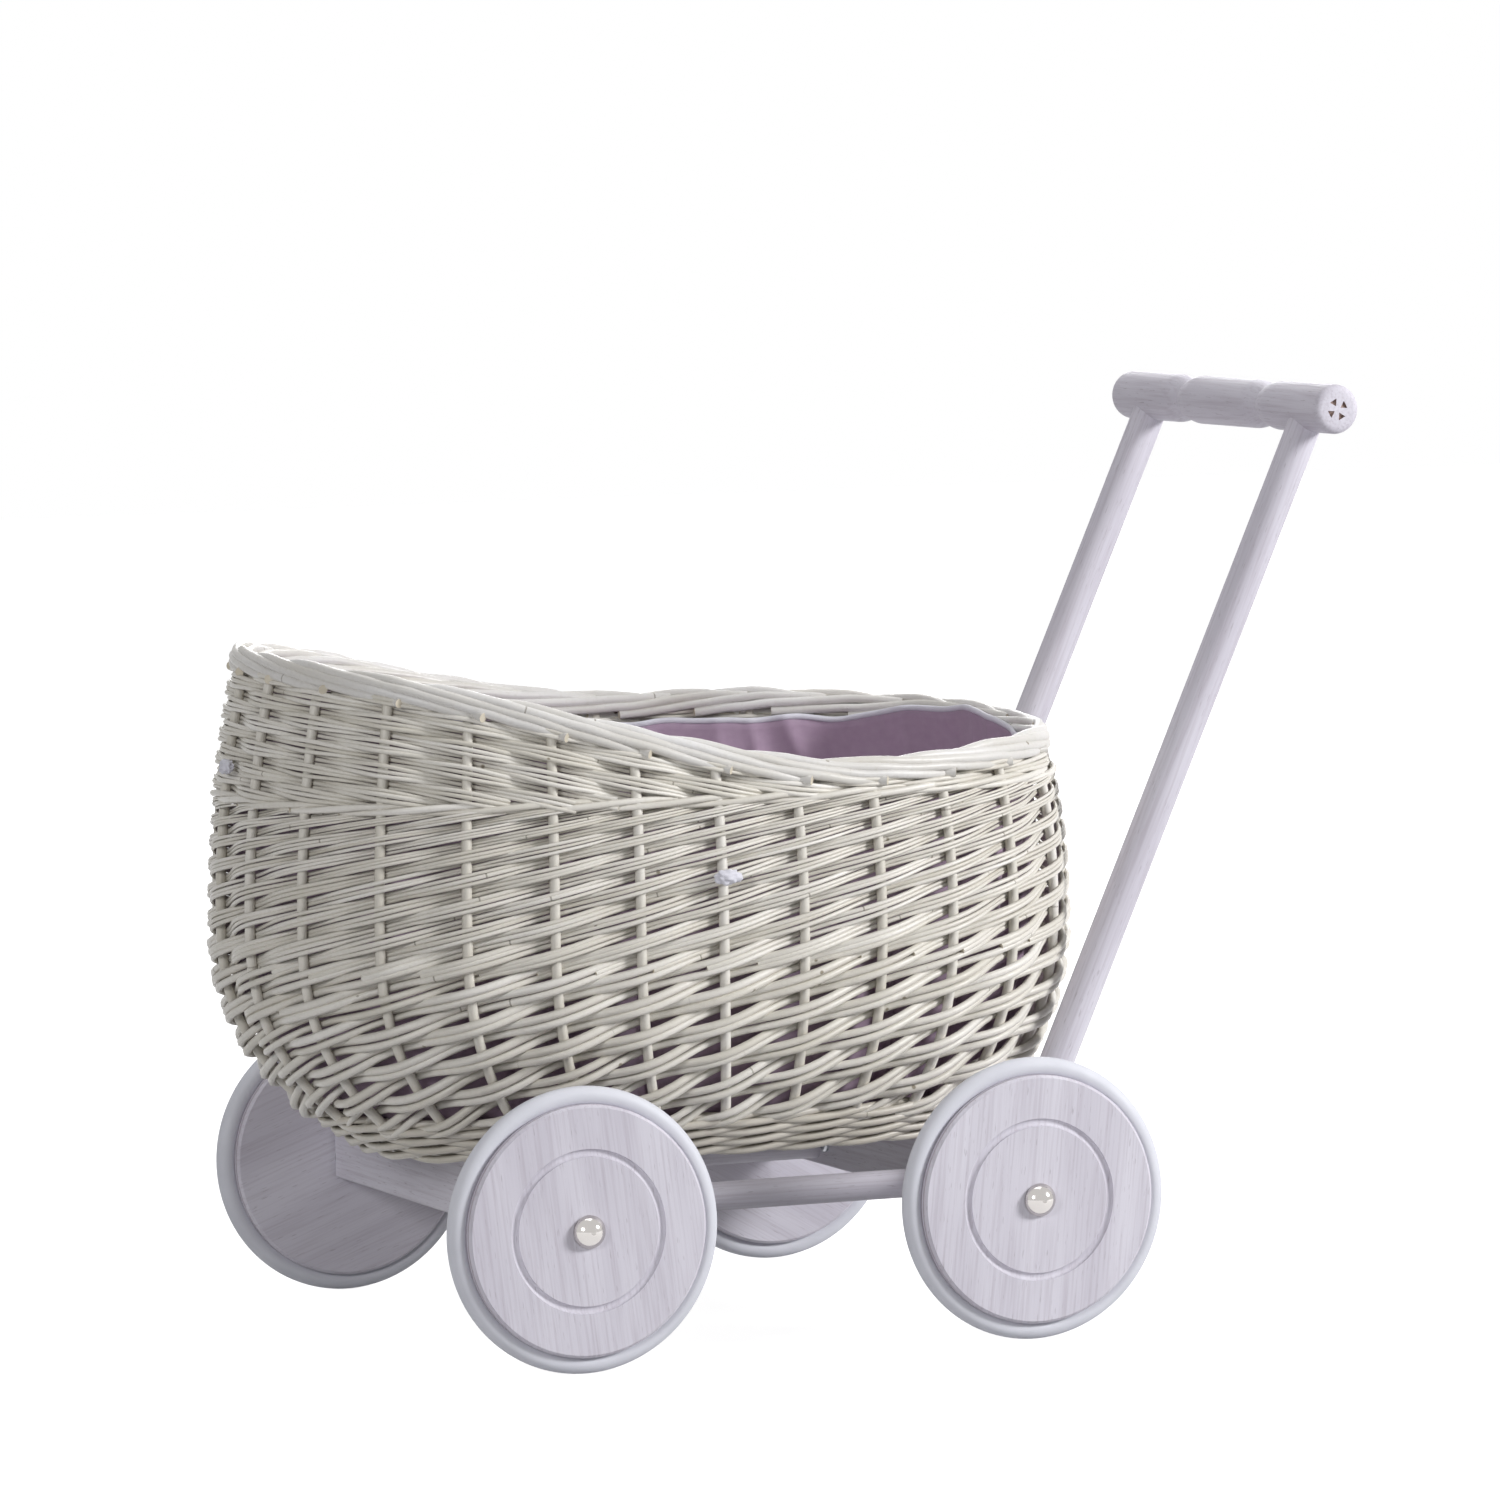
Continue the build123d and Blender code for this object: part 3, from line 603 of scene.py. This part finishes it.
body_mould = mould("body_mould", band_height_at, 46)
sizes = {
    "Mould": body_mould,
    "Willow": willow,
    "Bands": band_count,
    "Levels": level_count,
    "Climb": band_count / stake_count,
    "Third rod joins": 10.5,
    "Stake radius": 0.0027,
    "Points": 96,
    "Sides": 6,
    "Seed": 11,
}
tree, given = start_tree("french_randing", sizes)
rods, number, share, strand, band = rods_in_threes(tree, given, given["Bands"])
side = add_node(tree, MATH, strand, 1.0, operation="SUBTRACT")
late = add_node(tree, MATH, side, operation="ABSOLUTE")
late = add_node(tree, MATH, 1.0, late, operation="SUBTRACT")
start = add_node(tree, MATH, late, given["Third rod joins"], operation="MULTIPLY")
run = add_node(tree, MATH, given["Levels"], start, operation="SUBTRACT")
level = add_node(tree, MATH, share, run, start, operation="MULTIPLY_ADD")
spread, fat = (
    add_node(tree, RANGE, level, 9.0, 13.5, low, high, interpolation_type="SMOOTHSTEP")
    for low, high in ((0.262, 0.335), (0.266, 0.163))
)
butt = add_node(tree, RANGE, level, 0.0, 0.9, 0.5, 1.0)
stake = add_node(tree, MATH, band, level, operation="ADD")
stake = add_node(tree, MATH, stake, given["Climb"], operation="DIVIDE")
wander = wandering(tree, stake, number, 7.31, 0.55, -0.11, 0.11)
height = add_node(tree, MATH, side, spread, wander, operation="MULTIPLY_ADD")
height = add_node(tree, MATH, height, level, operation="ADD")
height = add_node(tree, MATH, height, given["Levels"], operation="DIVIDE")
form = add_node(tree, "GeometryNodeObjectInfo", given["Mould"], out=4)
map_point = add_node(tree, NAMED, "around_and_up", data_type="FLOAT_VECTOR")
spot = add_node(tree, "ShaderNodeCombineXYZ", 0.5, add_node(tree, "ShaderNodeClamp", height, 0.001, 0.999))
rise = add_node(tree, NAMED, "rise", data_type="FLOAT")
rise = add_node(tree, "GeometryNodeSampleUVSurface", form, rise, map_point, spot, data_type="FLOAT")
rise = add_node(tree, MATH, rise, given["Levels"], operation="DIVIDE")
radius = add_node(tree, MATH, rise, fat, operation="MULTIPLY")
radius = own_thickness(tree, given, number, radius, 0.90, 1.12)
radius = add_node(tree, MATH, radius, butt, operation="MULTIPLY")
reach = add_node(tree, MATH, radius, 0.85, given["Stake radius"], operation="MULTIPLY_ADD")
lift = add_node(tree, MATH, weft_side(tree, stake, band), reach, operation="MULTIPLY")
lift = add_node(tree, MATH, lift, butt, operation="MULTIPLY")
lay_and_round(tree, given, rods, number, radius, body_rods, stake, height, lift)
body_weave = weave_piece("basket_body_weave", tree, sizes)
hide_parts("basket_lower_weave", "basket_middle_weave", "basket_upper_weave")


# ---------------------------------------------------------------- hood weave
# Above the waist, rows of fine rods run level with the rim and stop where they meet the waist,
# so they build the wedge that lifts the hood end.
row_height = 0.0062
hood_rows = 11
rim_underside = 0.0092  # below the rim's top


def hood_row_height(share, down):
    """Height of a row below the rim."""
    return rim_height(share) - rim_underside - down * hood_rows * row_height


hood_mould = mould("hood_mould", hood_row_height, 22)
# each row is followed both ways from the hood end, a quarter of a stake at a time, down to the waist
row_courses = bpy.data.meshes.new("hood_row_courses")
row_ends = []
for row in range(hood_rows):
    reach = []
    for way in (-1, 1):
        quarter = 0
        while quarter < stake_count * 2:
            here = way * (quarter + 1) / 4 / stake_count
            if hood_row_height(here, (row + 0.5) / hood_rows) < waist_high.z - 0.005:
                break
            quarter += 1
        reach.append(way * quarter / 4)
    row_ends.append(reach)
row_courses.from_pydata([(0, 0, 0)] * hood_rows, [], [])
for label, end in (("begins", 0), ("ends", 1)):
    course = row_courses.attributes.new(label, "FLOAT", "POINT")
    course.data.foreach_set("value", [reach[end] for reach in row_ends])
courses = bpy.data.objects.new("hood_row_courses", row_courses)
sizes = {
    "Mould": hood_mould,
    "Courses": courses,
    "Willow": willow,
    "Rows": hood_rows,
    "Rod radius": 0.00125,
    "Stake radius": 0.0024,
    "Points": 190,
    "Sides": 6,
    "Seed": 5,
}
tree, given = start_tree("hood_rows", sizes)
rods, number, share, strand, row = rods_in_threes(tree, given, given["Rows"])
side = add_node(tree, MATH, strand, 1.0, operation="SUBTRACT")
table = add_node(tree, "GeometryNodeObjectInfo", given["Courses"], out=4)
begins, ends = (
    add_node(
        tree, "GeometryNodeSampleIndex", table, add_node(tree, NAMED, label, data_type="FLOAT"), row,
        data_type="FLOAT",
    )
    for label in ("begins", "ends")
)
run = add_node(tree, MATH, ends, begins, operation="SUBTRACT")
stake = add_node(tree, MATH, share, run, begins, operation="MULTIPLY_ADD")
wander = wandering(tree, stake, number, 5.17, 0.6, -0.07, 0.07)
weft = weft_side(tree, stake, row)
# the rods fan out a little where they pass a stake, so no daylight shows between the rows
spread = add_node(tree, MATH, weft, weft, operation="MULTIPLY")
spread = add_node(tree, MATH, spread, 0.10, 0.335, operation="MULTIPLY_ADD")
height = add_node(tree, MATH, side, spread, wander, operation="MULTIPLY_ADD")
height = add_node(tree, MATH, height, row, operation="ADD")
height = add_node(tree, MATH, height, 0.5, operation="ADD")
height = add_node(tree, MATH, height, given["Rows"], operation="DIVIDE")
radius = own_thickness(tree, given, number, given["Rod radius"], 0.85, 1.18)
reach = add_node(tree, MATH, radius, 0.85, given["Stake radius"], operation="MULTIPLY_ADD")
lift = add_node(tree, MATH, weft, reach, operation="MULTIPLY")
lay_and_round(tree, given, rods, number, radius, hood_rods, stake, height, lift)
hood_weave = weave_piece("basket_hood_weave_rods", tree, sizes)
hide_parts("basket_hood_weave")


# ---------------------------------------------------------------- foot and waist wales
# Waling: three rods worked together, each in front of two stakes and behind the third. Four
# thick rounds lock the stakes at the foot, and one round marks the waist.
level_low, level_high = foot_z - 0.004, 0.302
level_mould = mould("level_mould", lambda share, up: level_low + up * (level_high - level_low), 60)
wales = (
    # name, CAD node, rounds, first height, step up, rod radius, reach and swing in metres, first number
    ("basket_foot_wale_rods", "basket_foot_wale", 4, 0.1030, 0.0053, 0.0021, 0.0029, 0.0016, foot_rods),
    ("basket_waist_wale_rods", "basket_waist_wale", 1, 0.2912, 0.0, 0.0018, 0.0031, 0.0019, waist_rods),
)
for name, replaced, rounds, first_z, step_z, rod_radius, reach, swing, first_number in wales:
    sizes = {
        "Mould": level_mould,
        "Willow": willow,
        "Rounds": rounds,
        "First height": (first_z - level_low) / (level_high - level_low),
        "Step": step_z / (level_high - level_low),
        "Rod radius": rod_radius,
        "Reach": reach,
        "Swing": swing / (level_high - level_low),
        "Points": stake_count * 8 + 1,
        "Sides": 8,
    }
    tree, given = start_tree(f"waling_{first_number}", sizes)
    rods, number, share, strand, round_number = rods_in_threes(tree, given, given["Rounds"])
    stake = add_node(tree, MATH, share, float(stake_count), operation="MULTIPLY")
    stake = add_node(tree, MATH, round_number, 0.41, stake, operation="MULTIPLY_ADD")
    turn = add_node(tree, MATH, stake, strand, operation="ADD")
    turn = add_node(tree, MATH, turn, 2 * math.pi / 3, operation="MULTIPLY")
    lift = add_node(tree, MATH, turn, operation="COSINE")
    lift = add_node(tree, MATH, lift, given["Reach"], operation="MULTIPLY")
    swung = add_node(tree, MATH, turn, operation="SINE")
    swung = add_node(tree, MATH, swung, given["Swing"], operation="MULTIPLY")
    height = add_node(tree, MATH, round_number, given["Step"], operation="MULTIPLY")
    height = add_node(tree, MATH, height, given["First height"], operation="ADD")
    height = add_node(tree, MATH, height, swung, operation="ADD")
    rods = lay_on_mould(tree, given, rods, stake, height, lift)
    round_rods(tree, given, rods, number, given["Rod radius"], first_number)
    wale = weave_piece(name, tree, sizes)
    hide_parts(replaced)


# ---------------------------------------------------------------- rim
# Rolled border: each stake bends over the rim, runs along it past four others while it sinks down
# the outer face, and is cut off where it stands out under the edge. A second rod does so inside.
border_runs = (
    # name, first stake, stakes passed, radius, first number, then (share, outwards mm) and (share, up mm)
    (
        "outer", 0.5, 4.1, 0.0025, rim_rods,
        ((0, -1.0), (0.08, -1.2), (0.18, 0.0), (0.38, 2.3), (0.7, 3.5), (0.93, 3.3), (1, 1.2)),
        (
            (0, -5.0), (0.05, -0.5), (0.1, 2.8), (0.2, 4.2), (0.33, 2.8), (0.5, 0.5), (0.75, -3.4),
            (0.92, -5.9), (1, -6.8),
        ),
    ),
    (
        "cut", 0.56, 0.11, 0.0024, rim_rods + 200,
        ((0, 1.2), (0.3, 2.9), (1, 6.3)),
        ((0, -6.4), (1, -7.2)),
    ),
    (
        "inner", 0.5, 2.7, 0.0025, rim_rods + 100,
        ((0, -0.5), (0.2, -2.2), (0.5, -4.0), (1, -4.3)),
        ((0, 2.2), (0.2, 2.6), (0.5, 0.0), (1, -5.6)),
    ),
)
for way, first_stake, passed, rod_radius, first_number, outwards, upwards in border_runs:
    sizes = {
        "Mould": wall_mould,
        "Willow": willow,
        "Stakes": stake_count,
        "Stakes passed": passed,
        "Rod radius": rod_radius,
        "Points": 40,
        "Sides": 10,
        "Seed": 3,
    }
    tree, given = start_tree(f"border_{way}", sizes)
    rods, number, share = straight_rods(tree, given, given["Stakes"])
    stake = add_node(tree, MATH, share, given["Stakes passed"], number, operation="MULTIPLY_ADD")
    stake = add_node(tree, MATH, stake, first_stake, operation="ADD")
    offsets = []
    for course in (outwards, upwards):
        # the curve's 0 to 1 stands for -10 to 10 mm
        shape = add_node(tree, "ShaderNodeFloatCurve", 1.0, share).node
        curve = shape.mapping.curves[0]
        for i, (along_share, offset) in enumerate(course):
            spot = (along_share, offset / 20 + 0.5)
            if i < 2:
                curve.points[i].location = spot
            else:
                curve.points.new(*spot)
        shape.mapping.update()
        offset = add_node(tree, MATH, shape.outputs[0], 0.020, -0.010, operation="MULTIPLY_ADD")
        wander = wandering(tree, stake, number, 3.71, 1.3, -0.0009, 0.0005)
        offsets.append(add_node(tree, MATH, offset, wander, operation="ADD"))
    radius = own_thickness(tree, given, number, given["Rod radius"], 0.93, 1.08)
    lay_and_round(tree, given, rods, number, radius, first_number, stake, 1.0, *offsets)
    border = weave_piece(f"basket_rim_{way}_rods", tree, sizes)
    if way == "outer":
        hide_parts("basket_rim_border")

finish_nodes(willow, "basket_base")


# ---------------------------------------------------------------- lining
# Plain-woven lilac cotton, sewn as a flat bottom and a gathered side band, edged with white
# piping and tied to the weave, so it hangs in soft upright folds.
def woven_cotton(name, light, dark, thread=0.0007):
    """Matt cotton with a soft sheen; its thread spacing is drawn a little coarse so that it shows."""
    material, tree, shader = new_material(name)
    place = add_node(tree, "ShaderNodeUVMap", uv_map="cloth")
    parts = add_node(tree, "ShaderNodeSeparateXYZ", place).node
    threads = []
    for output in (0, 1):
        wave = add_node(tree, MATH, parts.outputs[output], 2 * math.pi / thread, operation="MULTIPLY")
        threads.append(add_node(tree, MATH, wave, operation="SINE"))
    cloth = add_node(tree, MATH, *threads, operation="MULTIPLY")
    spread = add_node(tree, RANGE, cloth, -1.0, 1.0, 0.0, 1.0)
    slub = add_node(tree, NOISE, named={"Vector": place, "Scale": 160.0, "Detail": 4.0})
    tone = add_node(tree, MATH, spread, 0.5, slub, operation="MULTIPLY_ADD")
    tone = add_node(tree, RANGE, tone, 0.3, 1.3, 0.0, 1.0)
    colour = add_node(tree, MIX, tone, named={6: linear(dark), 7: linear(light)}, out=2, data_type="RGBA")
    tree.links.new(colour, shader.inputs["Base Color"])
    shader.inputs["Roughness"].default_value = 0.88
    shader.inputs["Sheen Weight"].default_value = 0.25
    shader.inputs["Sheen Roughness"].default_value = 0.5
    relief = add_node(tree, "ShaderNodeBump", named={"Strength": 0.4, "Distance": 0.0002, "Height": spread})
    tree.links.new(relief, shader.inputs["Normal"])
    return material


lilac = woven_cotton("lilac_plain_cotton", "bca5ba", "a991a9")
white_cotton = woven_cotton("white_cotton_tape", "e6e5ee", "d6d5e0")
lining_low, lining_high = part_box("lining")
lining_depth = 0.0136  # behind the crest of the weave's rods
cloth_thickness = 0.0009
floor_rise = 0.0022  # of the flat bottom above the underside of the lining's box
# shares of the way round, and how many mm the edge hangs below the rim's top: a tie draws it up at the rear
edge_drops = (
    (0.0, 17.5), (0.1, 18.5), (0.24, 16.5), (0.34, 18.5), (0.41, 17.5), (0.45, 15.5), (0.491, 9.6),
    (0.528, 3.6), (0.566, 8.4), (0.611, 16.6), (0.65, 18.3), (0.70, 18.3), (0.76, 16.5), (0.86, 18.5),
    (1.0, 17.5),
)


def lining_top(share):
    """Height of the lining's upper edge, which is drawn up at its ties and sags between them."""
    share = share % 1.0
    i = max(bisect_right([s for s, _ in edge_drops], share) - 1, 0)
    (s0, drop0), (s1, drop1) = edge_drops[i], edge_drops[i + 1]
    t = (share - s0) / (s1 - s0)
    drop = drop0 + (drop1 - drop0) * t * t * (3 - 2 * t)
    sway = 0.7 * math.sin(2 * math.pi * share * 17 + 0.8) + 0.4 * math.sin(2 * math.pi * share * 31 + 2.1)
    return rim_height(share, lining_depth) - (drop + sway) / 1000


def fold_depth(share, drop):
    """How far the cloth stands in from the weave, at a share round and a share down."""
    fan = share + 0.035 * drop * math.sin(2 * math.pi * share * 5 + 1.0)  # folds fan out from the ties
    turn = 2 * math.pi * fan
    around = Vector((math.cos(turn), math.sin(turn), 0))
    gathers = noise.noise(around * 6.5 + Vector((0, 0, drop * 0.6 + 1.3)))
    fine = noise.noise(around * 17 + Vector((0, 0, drop * 1.5 + 7.1)))
    ridge = 1 - abs(gathers) * 1.7
    swell = min(1.0, drop * 2.8 + 0.25) * min(1.0, (1.02 - drop) * 5)
    return swell * (0.0095 * max(0.0, ridge) ** 2 + 0.0022 * (0.5 + 0.5 * fine))


def cloth_grid(name, point_at, columns, rows, size):
    """Cloth as a grid that goes all the way round, with its own UV map in metres."""
    data = bpy.data.meshes.new(name)
    points = [point_at(c / columns, r / rows) for r in range(rows + 1) for c in range(columns)]
    faces = []
    for r in range(0, rows * columns, columns):
        for c in range(columns):
            beside = (c + 1) % columns
            faces.append((r + c, r + columns + c, r + columns + beside, r + beside))
    data.from_pydata(points, [], faces)
    cloth = data.uv_layers.new(name="cloth")
    for face_number, polygon in enumerate(data.polygons):
        c, r = face_number % columns, face_number // columns
        corners = ((c, r), (c, r + 1), (c + 1, r + 1), (c + 1, r))
        for loop, (u, v) in zip(polygon.loop_indices, corners):
            cloth.data[loop].uv = (u / columns * size[0], v / rows * size[1])
    data.polygons.foreach_set("use_smooth", [True] * len(data.polygons))
    piece = bpy.data.objects.new(name, data)
    scene.collection.objects.link(piece)
    return piece


def side_band_point(share, drop):
    """Point of the gathered side band."""
    top = lining_top(share)
    z = top + (lining_low.z + floor_rise - top) * drop
    return wall_point(angle_at(share), z, lining_depth + fold_depth(share, drop))


band = cloth_grid("lining_side_band", side_band_point, 540, 44, (1.30, 0.24))


def floor_point(share, inward):
    """Point of the flat bottom, from its edge to its middle."""
    edge = wall_point(angle_at(share), lining_low.z + floor_rise, lining_depth + fold_depth(share, 1.0))
    centre = Vector(((lining_low.x + lining_high.x) / 2 - 0.006, 0, edge.z))
    spot = edge.lerp(centre, inward * 0.985)
    ripple = noise.noise(Vector((spot.x * 22, spot.y * 30, 4.4)))
    spot.z += 0.0016 * ripple * min(1.0, inward * 4)
    return spot


bottom_columns = 270
bottom = cloth_grid("lining_bottom", floor_point, bottom_columns, 24, (1.0, 0.12))
shell = bmesh.new()
shell.from_mesh(bottom.data)
shell.faces.new(reversed(list(shell.verts)[-bottom_columns:]))  # closes the middle
keep_shape(shell, bottom.data)
for cloth in (band, bottom):
    cloth.data.materials.append(lilac)
    thicken = cloth.modifiers.new("cloth", "SOLIDIFY")
    thicken.thickness = cloth_thickness
    thicken.offset = 0
    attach(cloth, "frame")
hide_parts("lining")


def piping_point(share, turn):
    """Point on the round piping along the lining's upper edge."""
    top = lining_top(share)
    spot = wall_point(angle_at(share), top, lining_depth + fold_depth(share, 0))
    cloth, inside = (wall_point(angle_at(share), top, lining_depth + depth) for depth in (0, 0.01))
    inward = (inside - cloth).normalized()
    angle = -2 * math.pi * turn
    return spot + inward * (0.0014 * math.cos(angle)) + Vector((0, 0, 0.0017 * math.sin(angle) + 0.001))


piping = cloth_grid("lining_piping_cord", piping_point, 540, 10, (1.30, 0.01))
shell = bmesh.new()
shell.from_mesh(piping.data)
bmesh.ops.remove_doubles(shell, verts=shell.verts, dist=0.00001)
keep_shape(shell, piping.data)
piping.data.materials.append(white_cotton)
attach(piping, "frame")
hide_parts("lining_piping")


# ---------------------------------------------------------------- knots
# Where the lining is tied through the weave, a puffed knot of white cotton tape sits on a stake.
# The last is at the hood end, between two stakes.
knot_shell = bmesh.new()
tape_map = knot_shell.loops.layers.uv.new("cloth")
knots_at = []
for stake, turn in ((6, 7), (20, 3), (13, 6)):  # the stake, and every second band it is level with
    share = (stake + 0.5) / stake_count
    level = share * band_count - stake - 1 + 2 * turn
    knots_at.append((share, band_height_at(share, level / level_count)))
knots_at.append((0.0, 0.309))
for knot_number, (share, height) in enumerate(knots_at):
    spot = wall_point(angle_at(share), height, -0.0022)
    inside = wall_point(angle_at(share), height, 0.01)
    out = (spot - inside).normalized()
    aside = Vector((0, 0, 1)).cross(out).normalized()
    lump = bmesh.ops.create_icosphere(knot_shell, subdivisions=4, radius=1.0)["verts"]
    for vertex in lump:
        way = vertex.co.copy()
        crease = abs(noise.noise(way * 1.7 + Vector((knot_number * 9.0, 0, 0))))
        puff = 0.80 + 0.55 * crease + 0.06 * noise.noise(way * 6)
        vertex.co = spot + (
            aside * (0.0078 * way.x) + out * (0.0034 * way.y) + Vector((0, 0, 0.0042 * way.z))
        ) * puff
for face in knot_shell.faces:
    face.smooth = True
    for loop in face.loops:
        loop[tape_map].uv = (loop.vert.co.x + loop.vert.co.y, loop.vert.co.z)
knot_data = keep_shape(knot_shell, bpy.data.meshes.new("lining_cotton_knots"))
knots = bpy.data.objects.new("lining_cotton_knots", knot_data)
scene.collection.objects.link(knots)
knot_data.materials.append(white_cotton)
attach(knots, "frame")
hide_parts("lining_knots")


# ---------------------------------------------------------------- room
# Pale seamless paper under soft studio lamps: a strong one high on the right, weaker ones on the
# left, above and behind.
floor_data = bpy.data.meshes.new("studio_floor")
floor_data.from_pydata([(-8, -8, 0), (8, -8, 0), (8, 8, 0), (-8, 8, 0)], [], [(0, 1, 2, 3)])
floor = bpy.data.objects.new("studio_floor", floor_data)
scene.collection.objects.link(floor)


def seen_share(tree):
    """1 to the eye, in mirrors and through glass, where the room is white; 0 to other light."""
    rays = add_node(tree, "ShaderNodeLightPath").node.outputs
    seen = add_node(tree, MATH, rays["Is Camera Ray"], rays["Is Glossy Ray"], operation="MAXIMUM")
    return add_node(tree, MATH, seen, rays["Is Transmission Ray"], operation="MAXIMUM")


# matt paper
paper, tree, shader = new_material("studio_paper")
shader.inputs["Base Color"].default_value = linear("b2b2b4")
shader.inputs["Roughness"].default_value = 0.9
shader.inputs["Emission Color"].default_value = (1, 1, 1, 1)
glow = add_node(tree, MATH, seen_share(tree), 0.9, operation="MULTIPLY")
tree.links.new(glow, shader.inputs["Emission Strength"])
floor_data.materials.append(paper)

world = bpy.data.worlds.new("studio")
world.use_nodes = True
scene.world = world
tree = world.node_tree
tree.nodes.clear()
strength = add_node(tree, RANGE, seen_share(tree), 0.0, 1.0, 0.14, 1.0)
add_node(tree, "ShaderNodeOutputWorld", add_node(tree, "ShaderNodeBackground", (1, 1, 1, 1), strength))

lamps_aim = Vector((0, 0, 0.2))
# name, place and width in metres, power in watts
lamps = (
    ("key", (2.9, -2.2, 1.7), 0.85, 134.0),
    ("fill", (-2.9, -2.4, 1.4), 0.9, 40.0),
    ("top", (0.2, 0.3, 2.7), 1.8, 20.0),
    ("back", (1.5, 3.3, 1.6), 1.6, 42.0),
)
for name, spot, width, power in lamps:
    light = bpy.data.lights.new(name, "AREA")
    light.size = width
    light.energy = power
    lamp = bpy.data.objects.new(name, light)
    towards = (lamps_aim - Vector(spot)).to_track_quat("-Z", "Y")
    lamp.matrix_world = Matrix.LocRotScale(Vector(spot), towards, None)
    scene.collection.objects.link(lamp)

scene.view_settings.view_transform = "Standard"
